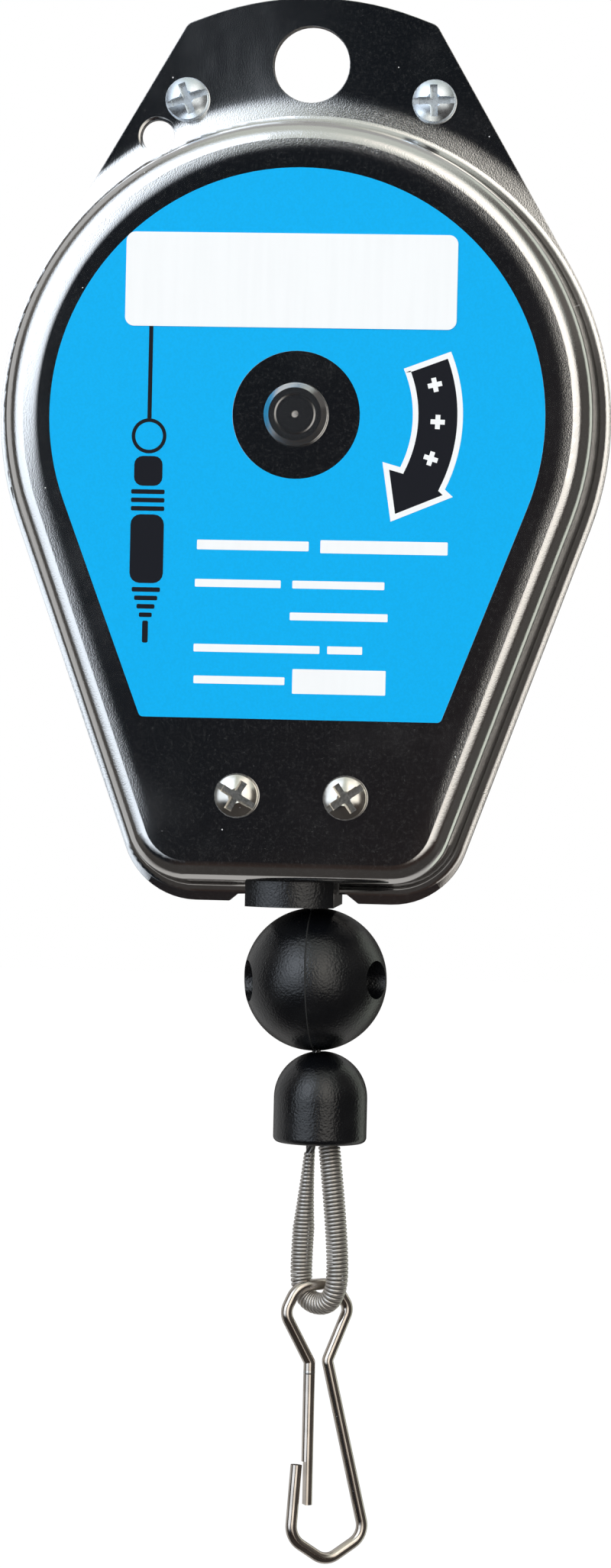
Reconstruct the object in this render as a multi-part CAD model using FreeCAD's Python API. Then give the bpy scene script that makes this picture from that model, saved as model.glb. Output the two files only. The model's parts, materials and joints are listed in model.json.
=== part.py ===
import FreeCAD, Part
import math
import os

# Spring balancer for a hanging hand tool.
# Two pressed steel covers hold a rope drum that a power spring turns. The rope leaves through a
# moulded guide, carries a clamped stop ball and a bell cap, and ends in a guarded loop with a snap hook.
# Lengths are in millimetres and angles in degrees. X points right and -Y to the front.
# Everything is drawn about the drum axis, and save() moves it so that the hanging eye is the origin.

V = FreeCAD.Vector
FRONT = V(0, -1, 0)
REAR = V(0, 1, 0)
DOWN = V(0, 0, -1)

# Fits
running_gap = 0.05        # radial, a shaft in its bearing
thread_gap = 0.02         # radial, a screw in its nut or tapped hole
bolt_gap = 0.25           # radial, a screw in a plain hole
seat_gap = 0.05           # between flat faces that bear on each other
slide_gap = 0.25          # moulded block in the sheet that holds it
soft_gap = 0.3            # round a rope, a spring or a loosely hung piece

# Pressed covers
sheet = 1.0
pan_depth = 14.0
draft = 5.0
face_edge_radius = 3.0
root_radius = 1.4
flange_radius = 48.0
upper_flank = 30.1
lower_flank = 19.8
lug_rise = 18.1            # crown of the lug above the round of the flange
lug_crown_radius = 47.0
lug_crown_slope = 20.5
lug_corner_radius = 2.0
flange_bottom = 75.6
flange_corner_radius = 12.0
flange_side = 1.5
flange_foot = 2.6
notch_mouth = 20.4
notch_left_run = 1.3
notch_left_rise = 1.1
notch_right_run = 2.3
notch_right_rise = 1.75
eye_rise = 7.7
eye_diameter = 12.0
safety_bearing = 118.5
safety_rise = 2.43
safety_diameter = 6.0
safety_rear_diameter = 5.2

# Case screws
screw_diameter = 4.0
screw_head_diameter = 6.9
screw_head_height = 2.4
head_rim_width = 0.22
head_rim_height = 0.6
head_dome_share = 0.38      # rise of the dome against the head
slot_depth_share = 0.6
slot_width_share = 0.14     # against the head's diameter
recess_depth_share = 0.75
recess_width_share = 0.17
recess_reach_share = 0.36
screw_end = 1.2
nut_width = 7.0
nut_height = 3.2
top_screw_x = 19.4
top_screw_rise = 2.0
top_screw_slots = (20.0, 2.0)
foot_screw_x = 8.4
foot_screw_middle = 0.5     # the pair sits a little right of the middle
foot_screw_rise = 16.8
foot_screw_slots = (-30.0, 35.0)

# Label and sticker
label_margin = 8.2          # bare pan beside the label
label_foot_margin = 26.4
label_flank = 20.8
label_drop = 0.3
label_corner_radius = 0.8
label_hole_diameter = 19.7
label_thickness = 0.15
sticker_width = 51.2
sticker_height = 14.5
sticker_corner_radius = 1.4
sticker_x = -1.2
sticker_z = 20.6

# Arbor
pin_diameter = 9.75
pin_stand = 2.4
pin_chamfer = 0.8
pin_dimple_diameter = 1.1
pin_ring_diameter = 6.4
pin_ring_depth = 0.15
pin_ring_width = 0.3
journal_diameter = 14.0
core_diameter = 18.0
spring_slot_depth = 5.0
washer_thickness = 0.8
washer_diameter = 19.0
square_width = 7.0
square_stand = 8.5
square_chamfer = 0.6
clip_thickness = 0.8
clip_width = 2.6
clip_groove_depth = 0.5

# Ratchet
tooth_count = 12
wheel_tip_radius = 11.0
tooth_depth = 1.9
wheel_thickness = 3.0
wheel_turn = 100.0
wheel_lift = 0.6
pawl_x = -16.5
pawl_z = 10.5
pawl_boss_radius = 4.0
pawl_thickness = 2.5
pawl_tail_length = 9.0
pawl_tail_width = 4.4
pawl_tail_turn = 12.0
pawl_nose_height = 1.6
pawl_back_x = -6.0
pawl_back_rise = 3.4
pawl_belly_x = -7.4
pawl_heel_x = 1.4
pawl_heel_rise = 0.2
pawl_nose_gap = 2.5       # degrees about the wheel, so that the nose clears the tooth as it lifts
rivet_diameter = 4.0
rivet_head_diameter = 8.0
rivet_head_height = 1.0
rivet_tail_height = 0.6
pawl_wire = 0.7
pawl_coil_turns = 2
pawl_coil_turn_width = 0.8
ear_width = 3.0
ear_aside = 1.0
ear_drop = 3.6
ear_overhang = 1.0

# Drum
rope_diameter = 1.5
drum_pitch_radius = 36.0
drum_flange_radius = 39.5
drum_flange_thickness = 1.7
rim_thickness = 3.7
web_thickness = 2.0
drum_front = 11.6
groove_width = 17.6
drum_cover_thickness = 1.2
bush_wall = 2.0
hub_wall = 3.0
drum_screw_diameter = 2.5
drum_screw_head_diameter = 4.5
drum_screw_head_height = 1.3
drum_screw_length = 6.0
drum_screw_count = 3

# Power spring
strip_thickness = 0.5
strip_turns = 10
strip_side_gap = 0.5
post_height = 2.6
post_width = 2.4
anchor_angle = 25.0

# Rope guide
guide_exit_x = 3.2
guide_drop = 0.5
guide_neck_radius = 10.9
guide_neck_width = 13.8
guide_body_width = 26.0
guide_body_height = 18.1
guide_body_gap = 2.4        # between the body and the inside of the pan below it
guide_edge_radius = 2.5
rope_corner_rise = 2.1
rope_bend_radius = 14.0
rope_rest_y = 6.4
rope_pitch = 1.9
guide_fan = 2.8

# Hanging chain
chain_lean = 2.1
ball_radius = 11.25
ball_turn = -3.2
ball_screw_y = 3.7
ball_screw_diameter = 3.0
ball_screw_head_diameter = 5.5
ball_screw_head_height = 2.0
ball_screw_end = 1.0
ball_nut_width = 5.5
ball_nut_height = 2.4
ball_head_pocket = 6.0
ball_nut_pocket = 6.5
ball_web = 9.0
seam_chamfer = 0.12
cap_radius = 7.35
cap_skirt = 7.0
cap_wall = 1.5
cap_lip_radius = 0.9
cap_drift = 0.55
ferrule_width = 6.2
ferrule_depth = 4.2
ferrule_length = 5.0
ferrule_legs = 1.8
ferrule_rise = 2.2          # top of the crimp above the centre of the dome

# Rope loop and its guard
guard_diameter = 3.5
loop_yaw = -40.0
loop_tilt = -0.2
loop_drift = 0.35
loop_half_width = 3.92
loop_neck_half_width = 2.15
loop_shoulder = 15.5
loop_drop = 25.4
leg_bend_radius = 30.0
guard_short_end = 1.5
guard_long_end = 1.2

# Snap hook
hook_wire = 1.8
hook_yaw = 25.0
hook_tilt = 3.0
hook_eye_half_width = 4.95
hook_shoulder_drop = 3.2
hook_crown_share = 0.62     # half width of the eye's flat crown against the eye
hook_shoulder_out = 0.4
hook_waist_x = 1.5
hook_waist_z = -11.2
hook_length = 42.2
bow_right_x = 6.8
bow_right_rise = 3.0
bow_left_x = -5.6
bow_left_rise = 3.6
bow_foot_x = 0.2
bow_foot_drop = 0.7
hook_bends = (0.4, 2.6, 3.4, 3.4, 2.2, 1.3, 3.2, 3.0, 3.6)
nose_z = -27.2
nose_x = -4.2
gate_end_x = -2.75
gate_end_z = -33.6
gate_hinge_drop = 1.6
gate_knuckle_radius = 0.55
gate_end_gap = 0.3
gate_tip_length = 6.8
gate_tip_thickness = 1.3

# Places worked out from the sizes above
pan_radius = flange_radius - flange_side
pan_bottom = flange_bottom - flange_foot
lug_top = flange_radius + lug_rise
eye_height = flange_radius + eye_rise
safety_x = (flange_radius + safety_rise) * math.cos(math.radians(safety_bearing))
safety_z = (flange_radius + safety_rise) * math.sin(math.radians(safety_bearing))
top_screw_z = flange_radius + top_screw_rise
foot_screw_z = foot_screw_rise - flange_bottom
foot_screw_places = (foot_screw_middle - foot_screw_x, foot_screw_middle + foot_screw_x)
label_radius = pan_radius - label_margin
label_bottom = pan_bottom - label_foot_margin
pan_corner_radius = flange_corner_radius - flange_side
inner_y = pan_depth - sheet
drum_back = -drum_front + groove_width + 2 * drum_flange_thickness
rim_outer = drum_pitch_radius - rope_diameter / 2 - soft_gap
rim_inner = rim_outer - rim_thickness
core_half = drum_front - web_thickness - seat_gap
guide_foot_z = -flange_bottom - guide_drop
guide_body_bottom = sheet + guide_body_gap - pan_bottom
guide_body_top = guide_body_bottom + guide_body_height
rope_corner_z = guide_body_bottom + rope_corner_rise
square_y = pan_depth + wheel_lift - seat_gap
wheel_y = pan_depth + wheel_lift
clip_y = wheel_y + wheel_thickness + seat_gap
ball_z = guide_foot_z - soft_gap - ball_radius
cap_z = ball_z - ball_radius - seat_gap - cap_radius
cap_foot_z = cap_z - cap_skirt


def polar(radius, angle, y=0.0):
    """A point by its distance and its angle above +X, seen from the front."""
    return V(radius * math.cos(math.radians(angle)), y, radius * math.sin(math.radians(angle)))


def leaning_x(z):
    """Where the rope hangs at a height, leaning from the exit of the guide."""
    return guide_exit_x + (guide_foot_z - z) * math.tan(math.radians(chain_lean))


def rounded_wire(points, radii, closed):
    """Straight runs through the points, with a tangent arc of the given radius at each corner."""
    count = len(points)
    corners = []
    for i, point in enumerate(points):
        if not closed and i in (0, count - 1):
            corners.append((point, None, point))
            continue
        back = (points[i - 1] - point).normalize()
        ahead = (points[(i + 1) % count] - point).normalize()
        half = back.getAngle(ahead) / 2
        reach = radii[i] / math.tan(half)
        middle = (back + ahead).normalize()
        crown = point + middle * (radii[i] / math.sin(half) - radii[i])
        corners.append((point + back * reach, crown if radii[i] else None, point + ahead * reach))
    edges = []
    for i in range(count):
        start, crown, end = corners[i]
        if crown:
            edges.append(Part.Arc(start, crown, end).toShape())
        if closed or i < count - 1:
            following = corners[(i + 1) % count][0]
            if end.distanceToPoint(following) > 1e-6:
                edges.append(Part.LineSegment(end, following).toShape())
    return Part.Wire(edges)


def outline(sides, radii, y=0.0):
    """A rounded polygon in a plane across Y. A side is its outward angle and its distance from the axis."""
    points = []
    for i, (angle, reach) in enumerate(sides):
        next_angle, next_reach = sides[(i + 1) % len(sides)]
        a = math.radians(angle)
        b = math.radians(next_angle)
        turn = math.sin(b - a)
        x = (reach * math.sin(b) - next_reach * math.sin(a)) / turn
        z = (next_reach * math.cos(a) - reach * math.cos(b)) / turn
        points.append(V(x, y, z))
    return rounded_wire(points, radii, True)


def plate(wire, thickness):
    """A flat plate that grows from its outline along +Y."""
    return Part.Face(wire).extrude(REAR * thickness)


def turned(profile, base=V(0, 0, 0), axis=REAR):
    """A body of revolution from (radius, distance along the axis) points."""
    points = [V(radius, along, 0) for radius, along in profile]
    face = Part.Face(Part.makePolygon(points + points[:1]))
    body = face.revolve(V(0, 0, 0), REAR, 360)
    body.Placement = FreeCAD.Placement(base, FreeCAD.Rotation(REAR, axis))
    return body


def rod(diameter, start, end):
    """A round bar between two points."""
    return Part.makeCylinder(diameter / 2, start.distanceToPoint(end), start, end - start)


def across(diameter, x, z, y_start, y_end):
    """A round bar from front to rear."""
    return rod(diameter, V(x, y_start, z), V(x, y_end, z))


def ring(outer, inner, y_start, y_end):
    """A flat ring about the drum axis."""
    return turned([(inner / 2, y_start), (outer / 2, y_start), (outer / 2, y_end), (inner / 2, y_end)])


def bent_wire(points, radii, diameter):
    """A round wire along straight runs joined by tangent arcs."""
    path = rounded_wire(points, radii, False)
    circle = Part.makeCircle(diameter / 2, points[0], points[1] - points[0])
    body = path.makePipeShell([Part.Wire(circle)], True, False)
    if body.Volume < 0:
        body.reverse()
    share = body.Volume / (math.pi * diameter ** 2 / 4 * path.Length)
    print(f"  wire {diameter:4.2f} length {path.Length:7.2f} volume by section {share:.4f}")
    return body


def hexagon(width, height, base, axis, bore=0.0):
    """A hexagon nut with its outer corners chamfered, growing from its base along the axis."""
    corner = width / math.sqrt(3)
    points = [polar(corner, 60 * i) for i in range(6)]
    nut = plate(Part.makePolygon(points + points[:1]), height)
    edge = corner - width / 2
    nut = nut.common(turned([
        (0, 0), (width / 2, 0), (corner, edge / 2),
        (corner, height - edge / 2), (width / 2, height), (0, height),
    ]))
    if bore:
        nut = nut.cut(across(bore, 0, 0, -1, height + 1))
    nut.Placement = FreeCAD.Placement(base, FreeCAD.Rotation(REAR, axis))
    return nut


def pan_screw(diameter, head_diameter, head_height, length, base, axis, slot_angle):
    """A domed screw with a rim, a slot and a cross recess. The base is the bearing face of the head."""
    radius = head_diameter / 2 - head_rim_width
    rise = head_height * head_dome_share
    sphere_radius = (radius ** 2 + rise ** 2) / (2 * rise)
    dome = Part.makeCylinder(radius, head_height, V(0, 0, 0), FRONT)
    dome = dome.common(Part.makeSphere(sphere_radius, V(0, sphere_radius - head_height, 0)))
    head = dome.fuse(Part.makeCylinder(head_diameter / 2, head_rim_height, V(0, 0, 0), FRONT))
    slot_width = head_diameter * slot_width_share
    slot_depth = head_height * slot_depth_share
    slot_corner = V(-head_diameter / 2, -head_height, -slot_width / 2)
    slot = Part.makeBox(head_diameter, slot_depth, slot_width, slot_corner)
    reach = head_diameter * recess_reach_share
    width = head_diameter * recess_width_share
    depth = head_height * recess_depth_share
    arm = Part.makeBox(2 * reach, depth, width, V(-reach, -head_height, -width / 2))
    middle = Part.makeCone(width, width / 2, depth, V(0, -head_height, 0), REAR)
    cross = arm.fuse(arm.rotated(V(0, 0, 0), REAR, 90)).fuse(middle)
    screw = head.cut(slot).cut(cross)
    screw = screw.fuse(Part.makeCylinder(diameter / 2, length, V(0, 0, 0), REAR))
    screw.rotate(V(0, 0, 0), REAR, -slot_angle)
    screw.Placement = FreeCAD.Placement(base, FreeCAD.Rotation(REAR, axis)).multiply(screw.Placement)
    return screw


def edges_at(shape, y):
    """The edges of a shape that lie in a plane across Y."""
    return [e for e in shape.Edges if abs(e.BoundBox.YMin - y) < 1e-4 and abs(e.BoundBox.YMax - y) < 1e-4]


# ---- Covers ---------------------------------------------------------------

def pan_outline(inset, y):
    """The pan's outline, drawn inside its foot line by an inset."""
    sides = [
        (-90, pan_bottom - inset),
        (-lower_flank, pan_radius - inset),
        (90, pan_radius - inset),
        (180 + lower_flank, pan_radius - inset),
    ]
    corner = pan_corner_radius - inset
    return outline(sides, [corner, pan_radius - inset, pan_radius - inset, corner], y)


def pan(inset, depth, edge_radius):
    """A drafted pan, open to the joint plane, with its face edge rounded."""
    top = inset + depth * math.tan(math.radians(draft))
    body = Part.makeLoft([pan_outline(inset, 0), pan_outline(top, -depth)], True, True)
    return body.makeFillet(edge_radius, edges_at(body, -depth))


def flange_outline(y):
    """The outline of the flange with the hanging lug on top."""
    slope = math.radians(lug_crown_slope)
    crown = (lug_top + lug_crown_radius * (1 / math.cos(slope) - 1)) * math.cos(slope)
    sides = [
        (-90, flange_bottom),
        (-lower_flank, flange_radius),
        (upper_flank, flange_radius),
        (90 - lug_crown_slope, crown),
        (90 + lug_crown_slope, crown),
        (180 - upper_flank, flange_radius),
        (180 + lower_flank, flange_radius),
    ]
    radii = [
        flange_corner_radius, flange_radius, lug_corner_radius, lug_crown_radius,
        lug_corner_radius, flange_radius, flange_corner_radius,
    ]
    return outline(sides, radii, y)


def guide_neck(gap, z_start, z_end):
    """The round neck of the rope guide with its two flats, grown by a gap."""
    neck = Part.makeCylinder(guide_neck_radius + gap, z_end - z_start, V(0, 0, z_start))
    half = guide_neck_width / 2 + gap
    side = guide_neck_radius + 1
    return neck.common(Part.makeBox(2 * half, 2 * side, z_end - z_start, V(-half, -side, z_start)))


def cover_blank():
    """What both covers share: flange, drawn pan, eye, notch for the guide and screw holes."""
    outer = plate(flange_outline(-sheet), sheet).fuse(pan(0, pan_depth, face_edge_radius))
    root = [e for e in edges_at(outer, -sheet) if e.BoundBox.DiagonalLength > 1 and on_pan_root(e)]
    outer = outer.makeFillet(root_radius, root)
    cover = outer.cut(pan(sheet, pan_depth - sheet, face_edge_radius - sheet))
    cover = cover.cut(across(eye_diameter, 0, eye_height, -pan_depth, 1))
    mouth = notch_mouth / 2
    foot = -flange_bottom
    notch = Part.makePolygon([
        V(-mouth, -sheet, foot - 1),
        V(-mouth, -sheet, foot),
        V(notch_left_run - mouth, -sheet, foot + notch_left_rise),
        V(mouth - notch_right_run, -sheet, foot + notch_right_rise),
        V(mouth, -sheet, foot),
        V(mouth, -sheet, foot - 1),
        V(-mouth, -sheet, foot - 1),
    ])
    cover = cover.cut(plate(notch, sheet))
    cover = cover.cut(guide_neck(slide_gap, foot - 1, 2 * sheet - pan_bottom))
    hole = screw_diameter + 2 * bolt_gap
    for x in (-top_screw_x, top_screw_x):
        cover = cover.cut(across(hole, x, top_screw_z, -pan_depth, 1))
    for x in foot_screw_places:
        cover = cover.cut(across(hole, x, foot_screw_z, -2 * pan_depth, 1))
    return cover


def on_pan_root(edge):
    """Whether an edge follows the line where the pan leaves the flange."""
    point = edge.valueAt((edge.FirstParameter + edge.LastParameter) / 2)
    drift = sheet * math.tan(math.radians(draft))
    line = pan_outline(drift, -sheet)
    return Part.Vertex(point).distToShape(line)[0] < 0.01


def front_cover():
    """The cover with the label side out, the pin hole and the wide safety hole."""
    cover = cover_blank()
    cover = cover.cut(across(pin_diameter + 2 * running_gap, 0, 0, -2 * pan_depth, 0))
    return cover.cut(across(safety_diameter, safety_x, safety_z, -pan_depth, 1))


def rear_cover():
    """The cover that carries the ratchet: pin hole, rivet hole and the lanced ear of the pawl spring."""
    cover = cover_blank().mirror(V(0, 0, 0), REAR)
    cover = cover.cut(across(pin_diameter + 2 * running_gap, 0, 0, 0, 2 * pan_depth))
    cover = cover.cut(across(safety_rear_diameter, safety_x, safety_z, -1, pan_depth))
    cover = cover.cut(across(rivet_diameter + 2 * thread_gap, pawl_x, pawl_z, 0, 2 * pan_depth))
    ear_height = wheel_lift + pawl_thickness + pawl_coil_turns * pawl_coil_turn_width + ear_overhang
    left = ear_x() - ear_width / 2
    ear = Part.makeBox(ear_width, ear_height + sheet, sheet, V(left, inner_y, ear_z()))
    window_corner = V(left, inner_y - sheet / 2, ear_z() - ear_height)
    window = Part.makeBox(ear_width, 2 * sheet, ear_height, window_corner)
    return cover.cut(window).fuse(ear)


def ear_x():
    """The ear stands below the pawl's tail."""
    return pawl_x - pawl_boss_radius - ear_aside


def ear_z():
    """Height of the ear's underside, clear of the tail when the pawl is lifted."""
    return pawl_z - pawl_boss_radius - ear_drop


def front_label():
    """The printed label with its round hole, and straight flanks like the case."""
    sides = [
        (-90, label_bottom), (-label_flank, label_radius),
        (90, label_radius), (180 + label_flank, label_radius),
    ]
    radii = [label_corner_radius, label_radius, label_radius, label_corner_radius]
    label = plate(outline(sides, radii, -pan_depth - label_thickness), label_thickness)
    label.translate(V(0, 0, -label_drop))
    return label.cut(across(label_hole_diameter, 0, 0, -2 * pan_depth, 0))


def blank_sticker():
    """A plain white sticker on the label."""
    y = -pan_depth - 2 * label_thickness
    half_width = sticker_width / 2
    half_height = sticker_height / 2
    signs = ((-1, -1), (1, -1), (1, 1), (-1, 1))
    corners = [V(sticker_x + sx * half_width, y, sticker_z + sz * half_height) for sx, sz in signs]
    return plate(rounded_wire(corners, [sticker_corner_radius] * 4, True), label_thickness)


def top_screws():
    """Two short screws through both lugs."""
    length = 2 * sheet + nut_height + screw_end
    return [
        pan_screw(screw_diameter, screw_head_diameter, screw_head_height, length,
                  V(x, -sheet, top_screw_z), REAR, slot)
        for x, slot in zip((-top_screw_x, top_screw_x), top_screw_slots)
    ]


def foot_screws():
    """Two long screws through the pans and the rope guide."""
    length = 2 * pan_depth + nut_height + screw_end
    return [
        pan_screw(screw_diameter, screw_head_diameter, screw_head_height, length,
                  V(x, -pan_depth, foot_screw_z), REAR, slot)
        for x, slot in zip(foot_screw_places, foot_screw_slots)
    ]


def top_nuts():
    """Nuts behind the lugs."""
    bore = screw_diameter + 2 * thread_gap
    places = [V(x, sheet, top_screw_z) for x in (-top_screw_x, top_screw_x)]
    return [hexagon(nut_width, nut_height, place, REAR, bore) for place in places]


def foot_nuts():
    """Nuts on the flat of the rear pan."""
    bore = screw_diameter + 2 * thread_gap
    places = [V(x, pan_depth, foot_screw_z) for x in foot_screw_places]
    return [hexagon(nut_width, nut_height, place, REAR, bore) for place in places]


# ---- Arbor and ratchet ----------------------------------------------------

def arbor():
    """The stepped shaft: pin, journals, slotted spring core and the square for the wheel and a spanner."""
    pin = pin_diameter / 2
    journal = journal_diameter / 2
    core = core_diameter / 2
    shoulder = inner_y - washer_thickness - 2 * seat_gap
    front_end = -pan_depth - pin_stand
    dimple = pin_dimple_diameter / 2
    ring_outer = pin_ring_diameter / 2
    core_back = core_half - strip_side_gap
    body = turned([
        (0, front_end + dimple), (dimple, front_end),
        (ring_outer - pin_ring_width, front_end),
        (ring_outer - pin_ring_width / 2, front_end + pin_ring_depth),
        (ring_outer, front_end), (pin - pin_chamfer, front_end), (pin, front_end + pin_chamfer),
        (pin, -shoulder), (journal, -shoulder), (journal, -core_half), (core, -core_half),
        (core, core_back), (journal, core_back), (journal, shoulder), (pin, shoulder),
        (pin, square_y), (0, square_y),
    ])
    end = square_y + square_stand
    half = square_width / 2
    square = Part.makeBox(square_width, square_stand, square_width, V(-half, square_y, -half))
    square = square.common(turned([
        (0, square_y), (pin, square_y), (pin, end - square_chamfer),
        (pin - 2 * square_chamfer, end), (0, end),
    ]))
    square.rotate(V(0, 0, 0), REAR, wheel_turn)
    groove_inner = square_width - 2 * clip_groove_depth
    groove = ring(2 * pin_diameter, groove_inner, clip_y, clip_y + clip_thickness + seat_gap)
    slot = Part.makeBox(spring_slot_depth, 2 * core_half, 2 * strip_thickness,
                        V(core - spring_slot_depth, -core_half, -strip_thickness))
    return body.cut(slot).fuse(square.cut(groove))


def thrust_washers():
    """One washer behind each cover."""
    bore = pin_diameter + 2 * bolt_gap
    start = inner_y - seat_gap - washer_thickness
    end = start + washer_thickness
    return [ring(washer_diameter, bore, side * start, side * end) for side in (-1, 1)]


def ratchet_wheel():
    """Saw teeth that let the arbor turn clockwise, seen from the front, and stop it the other way."""
    pitch = 360.0 / tooth_count
    root = wheel_tip_radius - tooth_depth
    points = []
    for i in range(tooth_count):
        face = wheel_turn + i * pitch
        points.append(polar(wheel_tip_radius, face, wheel_y))
        points.append(polar(root, face, wheel_y))
    wheel = plate(Part.makePolygon(points + points[:1]), wheel_thickness)
    width = square_width + 2 * seat_gap
    corner = V(-width / 2, wheel_y - wheel_thickness, -width / 2)
    hole = Part.makeBox(width, 3 * wheel_thickness, width, corner)
    hole.rotate(V(0, 0, 0), REAR, wheel_turn)
    return wheel.cut(hole)


def arbor_clip():
    """The open ring that keeps the wheel on the square."""
    inner = square_width - 2 * clip_groove_depth + 2 * thread_gap
    clip = ring(inner + 2 * clip_width, inner, clip_y, clip_y + clip_thickness)
    gap = Part.makeBox(inner * 0.7, 2, 2 * inner, V(-inner * 0.35, clip_y - 0.5, 0))
    gap.rotate(V(0, 0, 0), REAR, wheel_turn)
    return clip.cut(gap)


def pawl():
    """The lever whose nose stands in a tooth gap. Its tail is pressed down to let the arbor run back."""
    y = wheel_y + (wheel_thickness - pawl_thickness) / 2
    root = wheel_tip_radius - tooth_depth
    nose_low = polar(root + soft_gap, wheel_turn + pawl_nose_gap, y)
    nose_high = polar(wheel_tip_radius + pawl_nose_height, wheel_turn + pawl_nose_gap, y)
    arm = plate(Part.makePolygon([
        nose_low,
        nose_high,
        V(pawl_back_x, y, pawl_z + pawl_back_rise),
        V(pawl_x, y, pawl_z + pawl_boss_radius),
        V(pawl_x, y, pawl_z - pawl_boss_radius),
        V(pawl_x + pawl_heel_x, y, pawl_z - pawl_boss_radius + pawl_heel_rise),
        V(pawl_belly_x, y, nose_low.z),
        nose_low,
    ]), pawl_thickness)
    boss = across(2 * pawl_boss_radius, pawl_x, pawl_z, y, y + pawl_thickness)
    half = pawl_tail_width / 2
    tail_end = pawl_x - pawl_tail_length
    tail = plate(rounded_wire([
        V(pawl_x, y, pawl_z - half), V(tail_end, y, pawl_z - half),
        V(tail_end, y, pawl_z + half), V(pawl_x, y, pawl_z + half),
    ], [0, half * 0.9, half * 0.9, 0], True), pawl_thickness)
    tail.rotate(V(pawl_x, y, pawl_z), REAR, pawl_tail_turn)
    lever = arm.fuse(boss).fuse(tail)
    bore = rivet_diameter + 2 * running_gap
    return lever.cut(across(bore, pawl_x, pawl_z, y - 1, y + pawl_thickness + 1))


def pawl_rivet():
    """Shouldered rivet in the rear cover: the pawl and its spring sit on it."""
    shank = rivet_diameter / 2
    head = rivet_head_diameter / 2
    pawl_y = wheel_y + (wheel_thickness - pawl_thickness) / 2
    head_y = pawl_y + pawl_thickness + pawl_coil_turns * pawl_coil_turn_width + 4 * seat_gap
    tail_y = inner_y - rivet_tail_height
    seat = pawl_y - seat_gap
    end = head_y + rivet_head_height
    return turned([
        (0, tail_y), (head * 0.8, tail_y), (head * 0.8, inner_y), (shank, inner_y), (shank, pan_depth),
        (head * 0.75, pan_depth), (head * 0.75, seat), (shank, seat), (shank, head_y),
        (head, head_y), (head, end), (0, end),
    ], V(pawl_x, 0, pawl_z))


def pawl_spring():
    """A small torsion spring: its coil on the rivet, one leg on the pawl and the other on the ear."""
    pawl_y = wheel_y + (wheel_thickness - pawl_thickness) / 2
    coil_y = pawl_y + pawl_thickness + 2 * seat_gap
    width = pawl_coil_turns * pawl_coil_turn_width
    inner = rivet_diameter / 2 + soft_gap
    outer = inner + pawl_coil_turn_width
    section = [(inner, coil_y), (outer, coil_y), (outer, coil_y + width), (inner, coil_y + width)]
    coil = turned(section, V(pawl_x, 0, pawl_z))
    middle = (inner + outer) / 2
    y = coil_y + pawl_coil_turn_width / 2
    over = V(pawl_x + 8.6, y, pawl_z + middle + 1.9)
    upper = bent_wire([
        V(pawl_x, y, pawl_z + middle), over, over - V(0, pawl_thickness + 0.3, 0),
    ], [0, pawl_wire, 0], pawl_wire)
    low_y = y + pawl_coil_turn_width
    under_z = ear_z() - pawl_wire / 2 - seat_gap
    side = pawl_x - middle
    lower = bent_wire([
        V(side, low_y, pawl_z), V(side, low_y, under_z), V(ear_x() - ear_width / 2, low_y, under_z),
    ], [0, pawl_wire, 0], pawl_wire)
    return coil.fuse(upper).fuse(lower)


# ---- Drum -----------------------------------------------------------------

def drum():
    """The cup that holds the power spring, with the rope groove round it."""
    front = -drum_front
    back = drum_back
    rim = rim_outer
    cup = rim_inner
    flange = drum_flange_radius
    edge = drum_flange_thickness
    hub_bore = journal_diameter / 2 + bush_wall
    hub = hub_bore + hub_wall
    web = front + web_thickness
    body = turned([
        (hub_bore, front), (flange, front), (flange, front + edge), (rim, front + edge), (rim, back - edge),
        (flange, back - edge), (flange, back), (cup, back), (cup, web), (hub, web), (hub_bore, web),
    ])
    overlap = rim_thickness / 4
    body = body.fuse(Part.makeBox(post_height + overlap, back - web, post_width, V(
        cup - post_height, web, -strip_thickness / 2 - soft_gap - post_width)))
    bore = drum_screw_diameter + 2 * thread_gap
    for point in drum_screw_places():
        body = body.cut(across(bore, point.x, point.z, back - drum_screw_length - 1, back + 1))
    point = polar((rim + cup) / 2, anchor_angle)
    pocket = 2 * rope_diameter + 2 * seat_gap
    return body.cut(across(pocket, point.x, point.z, front - 1, front + 3 * rope_diameter))


def drum_screw_places():
    """Where the screws of the drum cover stand, in the middle of the drum's rim."""
    step = 360.0 / drum_screw_count
    return [polar((rim_outer + rim_inner) / 2, 90 + step * i) for i in range(drum_screw_count)]


def drum_cover():
    """The disc that closes the spring's space and carries the rear bush."""
    y = drum_back + seat_gap
    bore = journal_diameter / 2 + bush_wall
    hub = bore + hub_wall
    thickness = drum_cover_thickness
    outer = rim_outer + 1.0
    body = turned([
        (bore, y), (outer, y), (outer, y + thickness), (hub, y + thickness),
        (hub, y + bush_seat()), (bore, y + bush_seat()),
    ])
    hole = drum_screw_diameter + 2 * bolt_gap
    for point in drum_screw_places():
        body = body.cut(across(hole, point.x, point.z, y - 1, y + 2 * thickness))
    return body


def bush_seat():
    """Length of the boss on the drum cover, up to the rear washer."""
    return inner_y - 2 * washer_thickness - drum_back


def drum_screws():
    """Pan-head screws that hold the drum cover."""
    y = drum_back + seat_gap + drum_cover_thickness
    screws = []
    for point in drum_screw_places():
        head = across(drum_screw_head_diameter, point.x, point.z, y, y + drum_screw_head_height)
        shank = across(drum_screw_diameter, point.x, point.z, y - drum_screw_length, y)
        screws.append(head.fuse(shank))
    return screws


def drum_bushes():
    """Plain bushes pressed into the drum and its cover."""
    bore = journal_diameter + 2 * running_gap
    outer = journal_diameter + 2 * bush_wall - 2 * thread_gap
    front = ring(outer, bore, -drum_front, -drum_front + web_thickness)
    y = drum_back + seat_gap
    rear = ring(outer, bore, y, y + bush_seat())
    return [front, rear]


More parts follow.
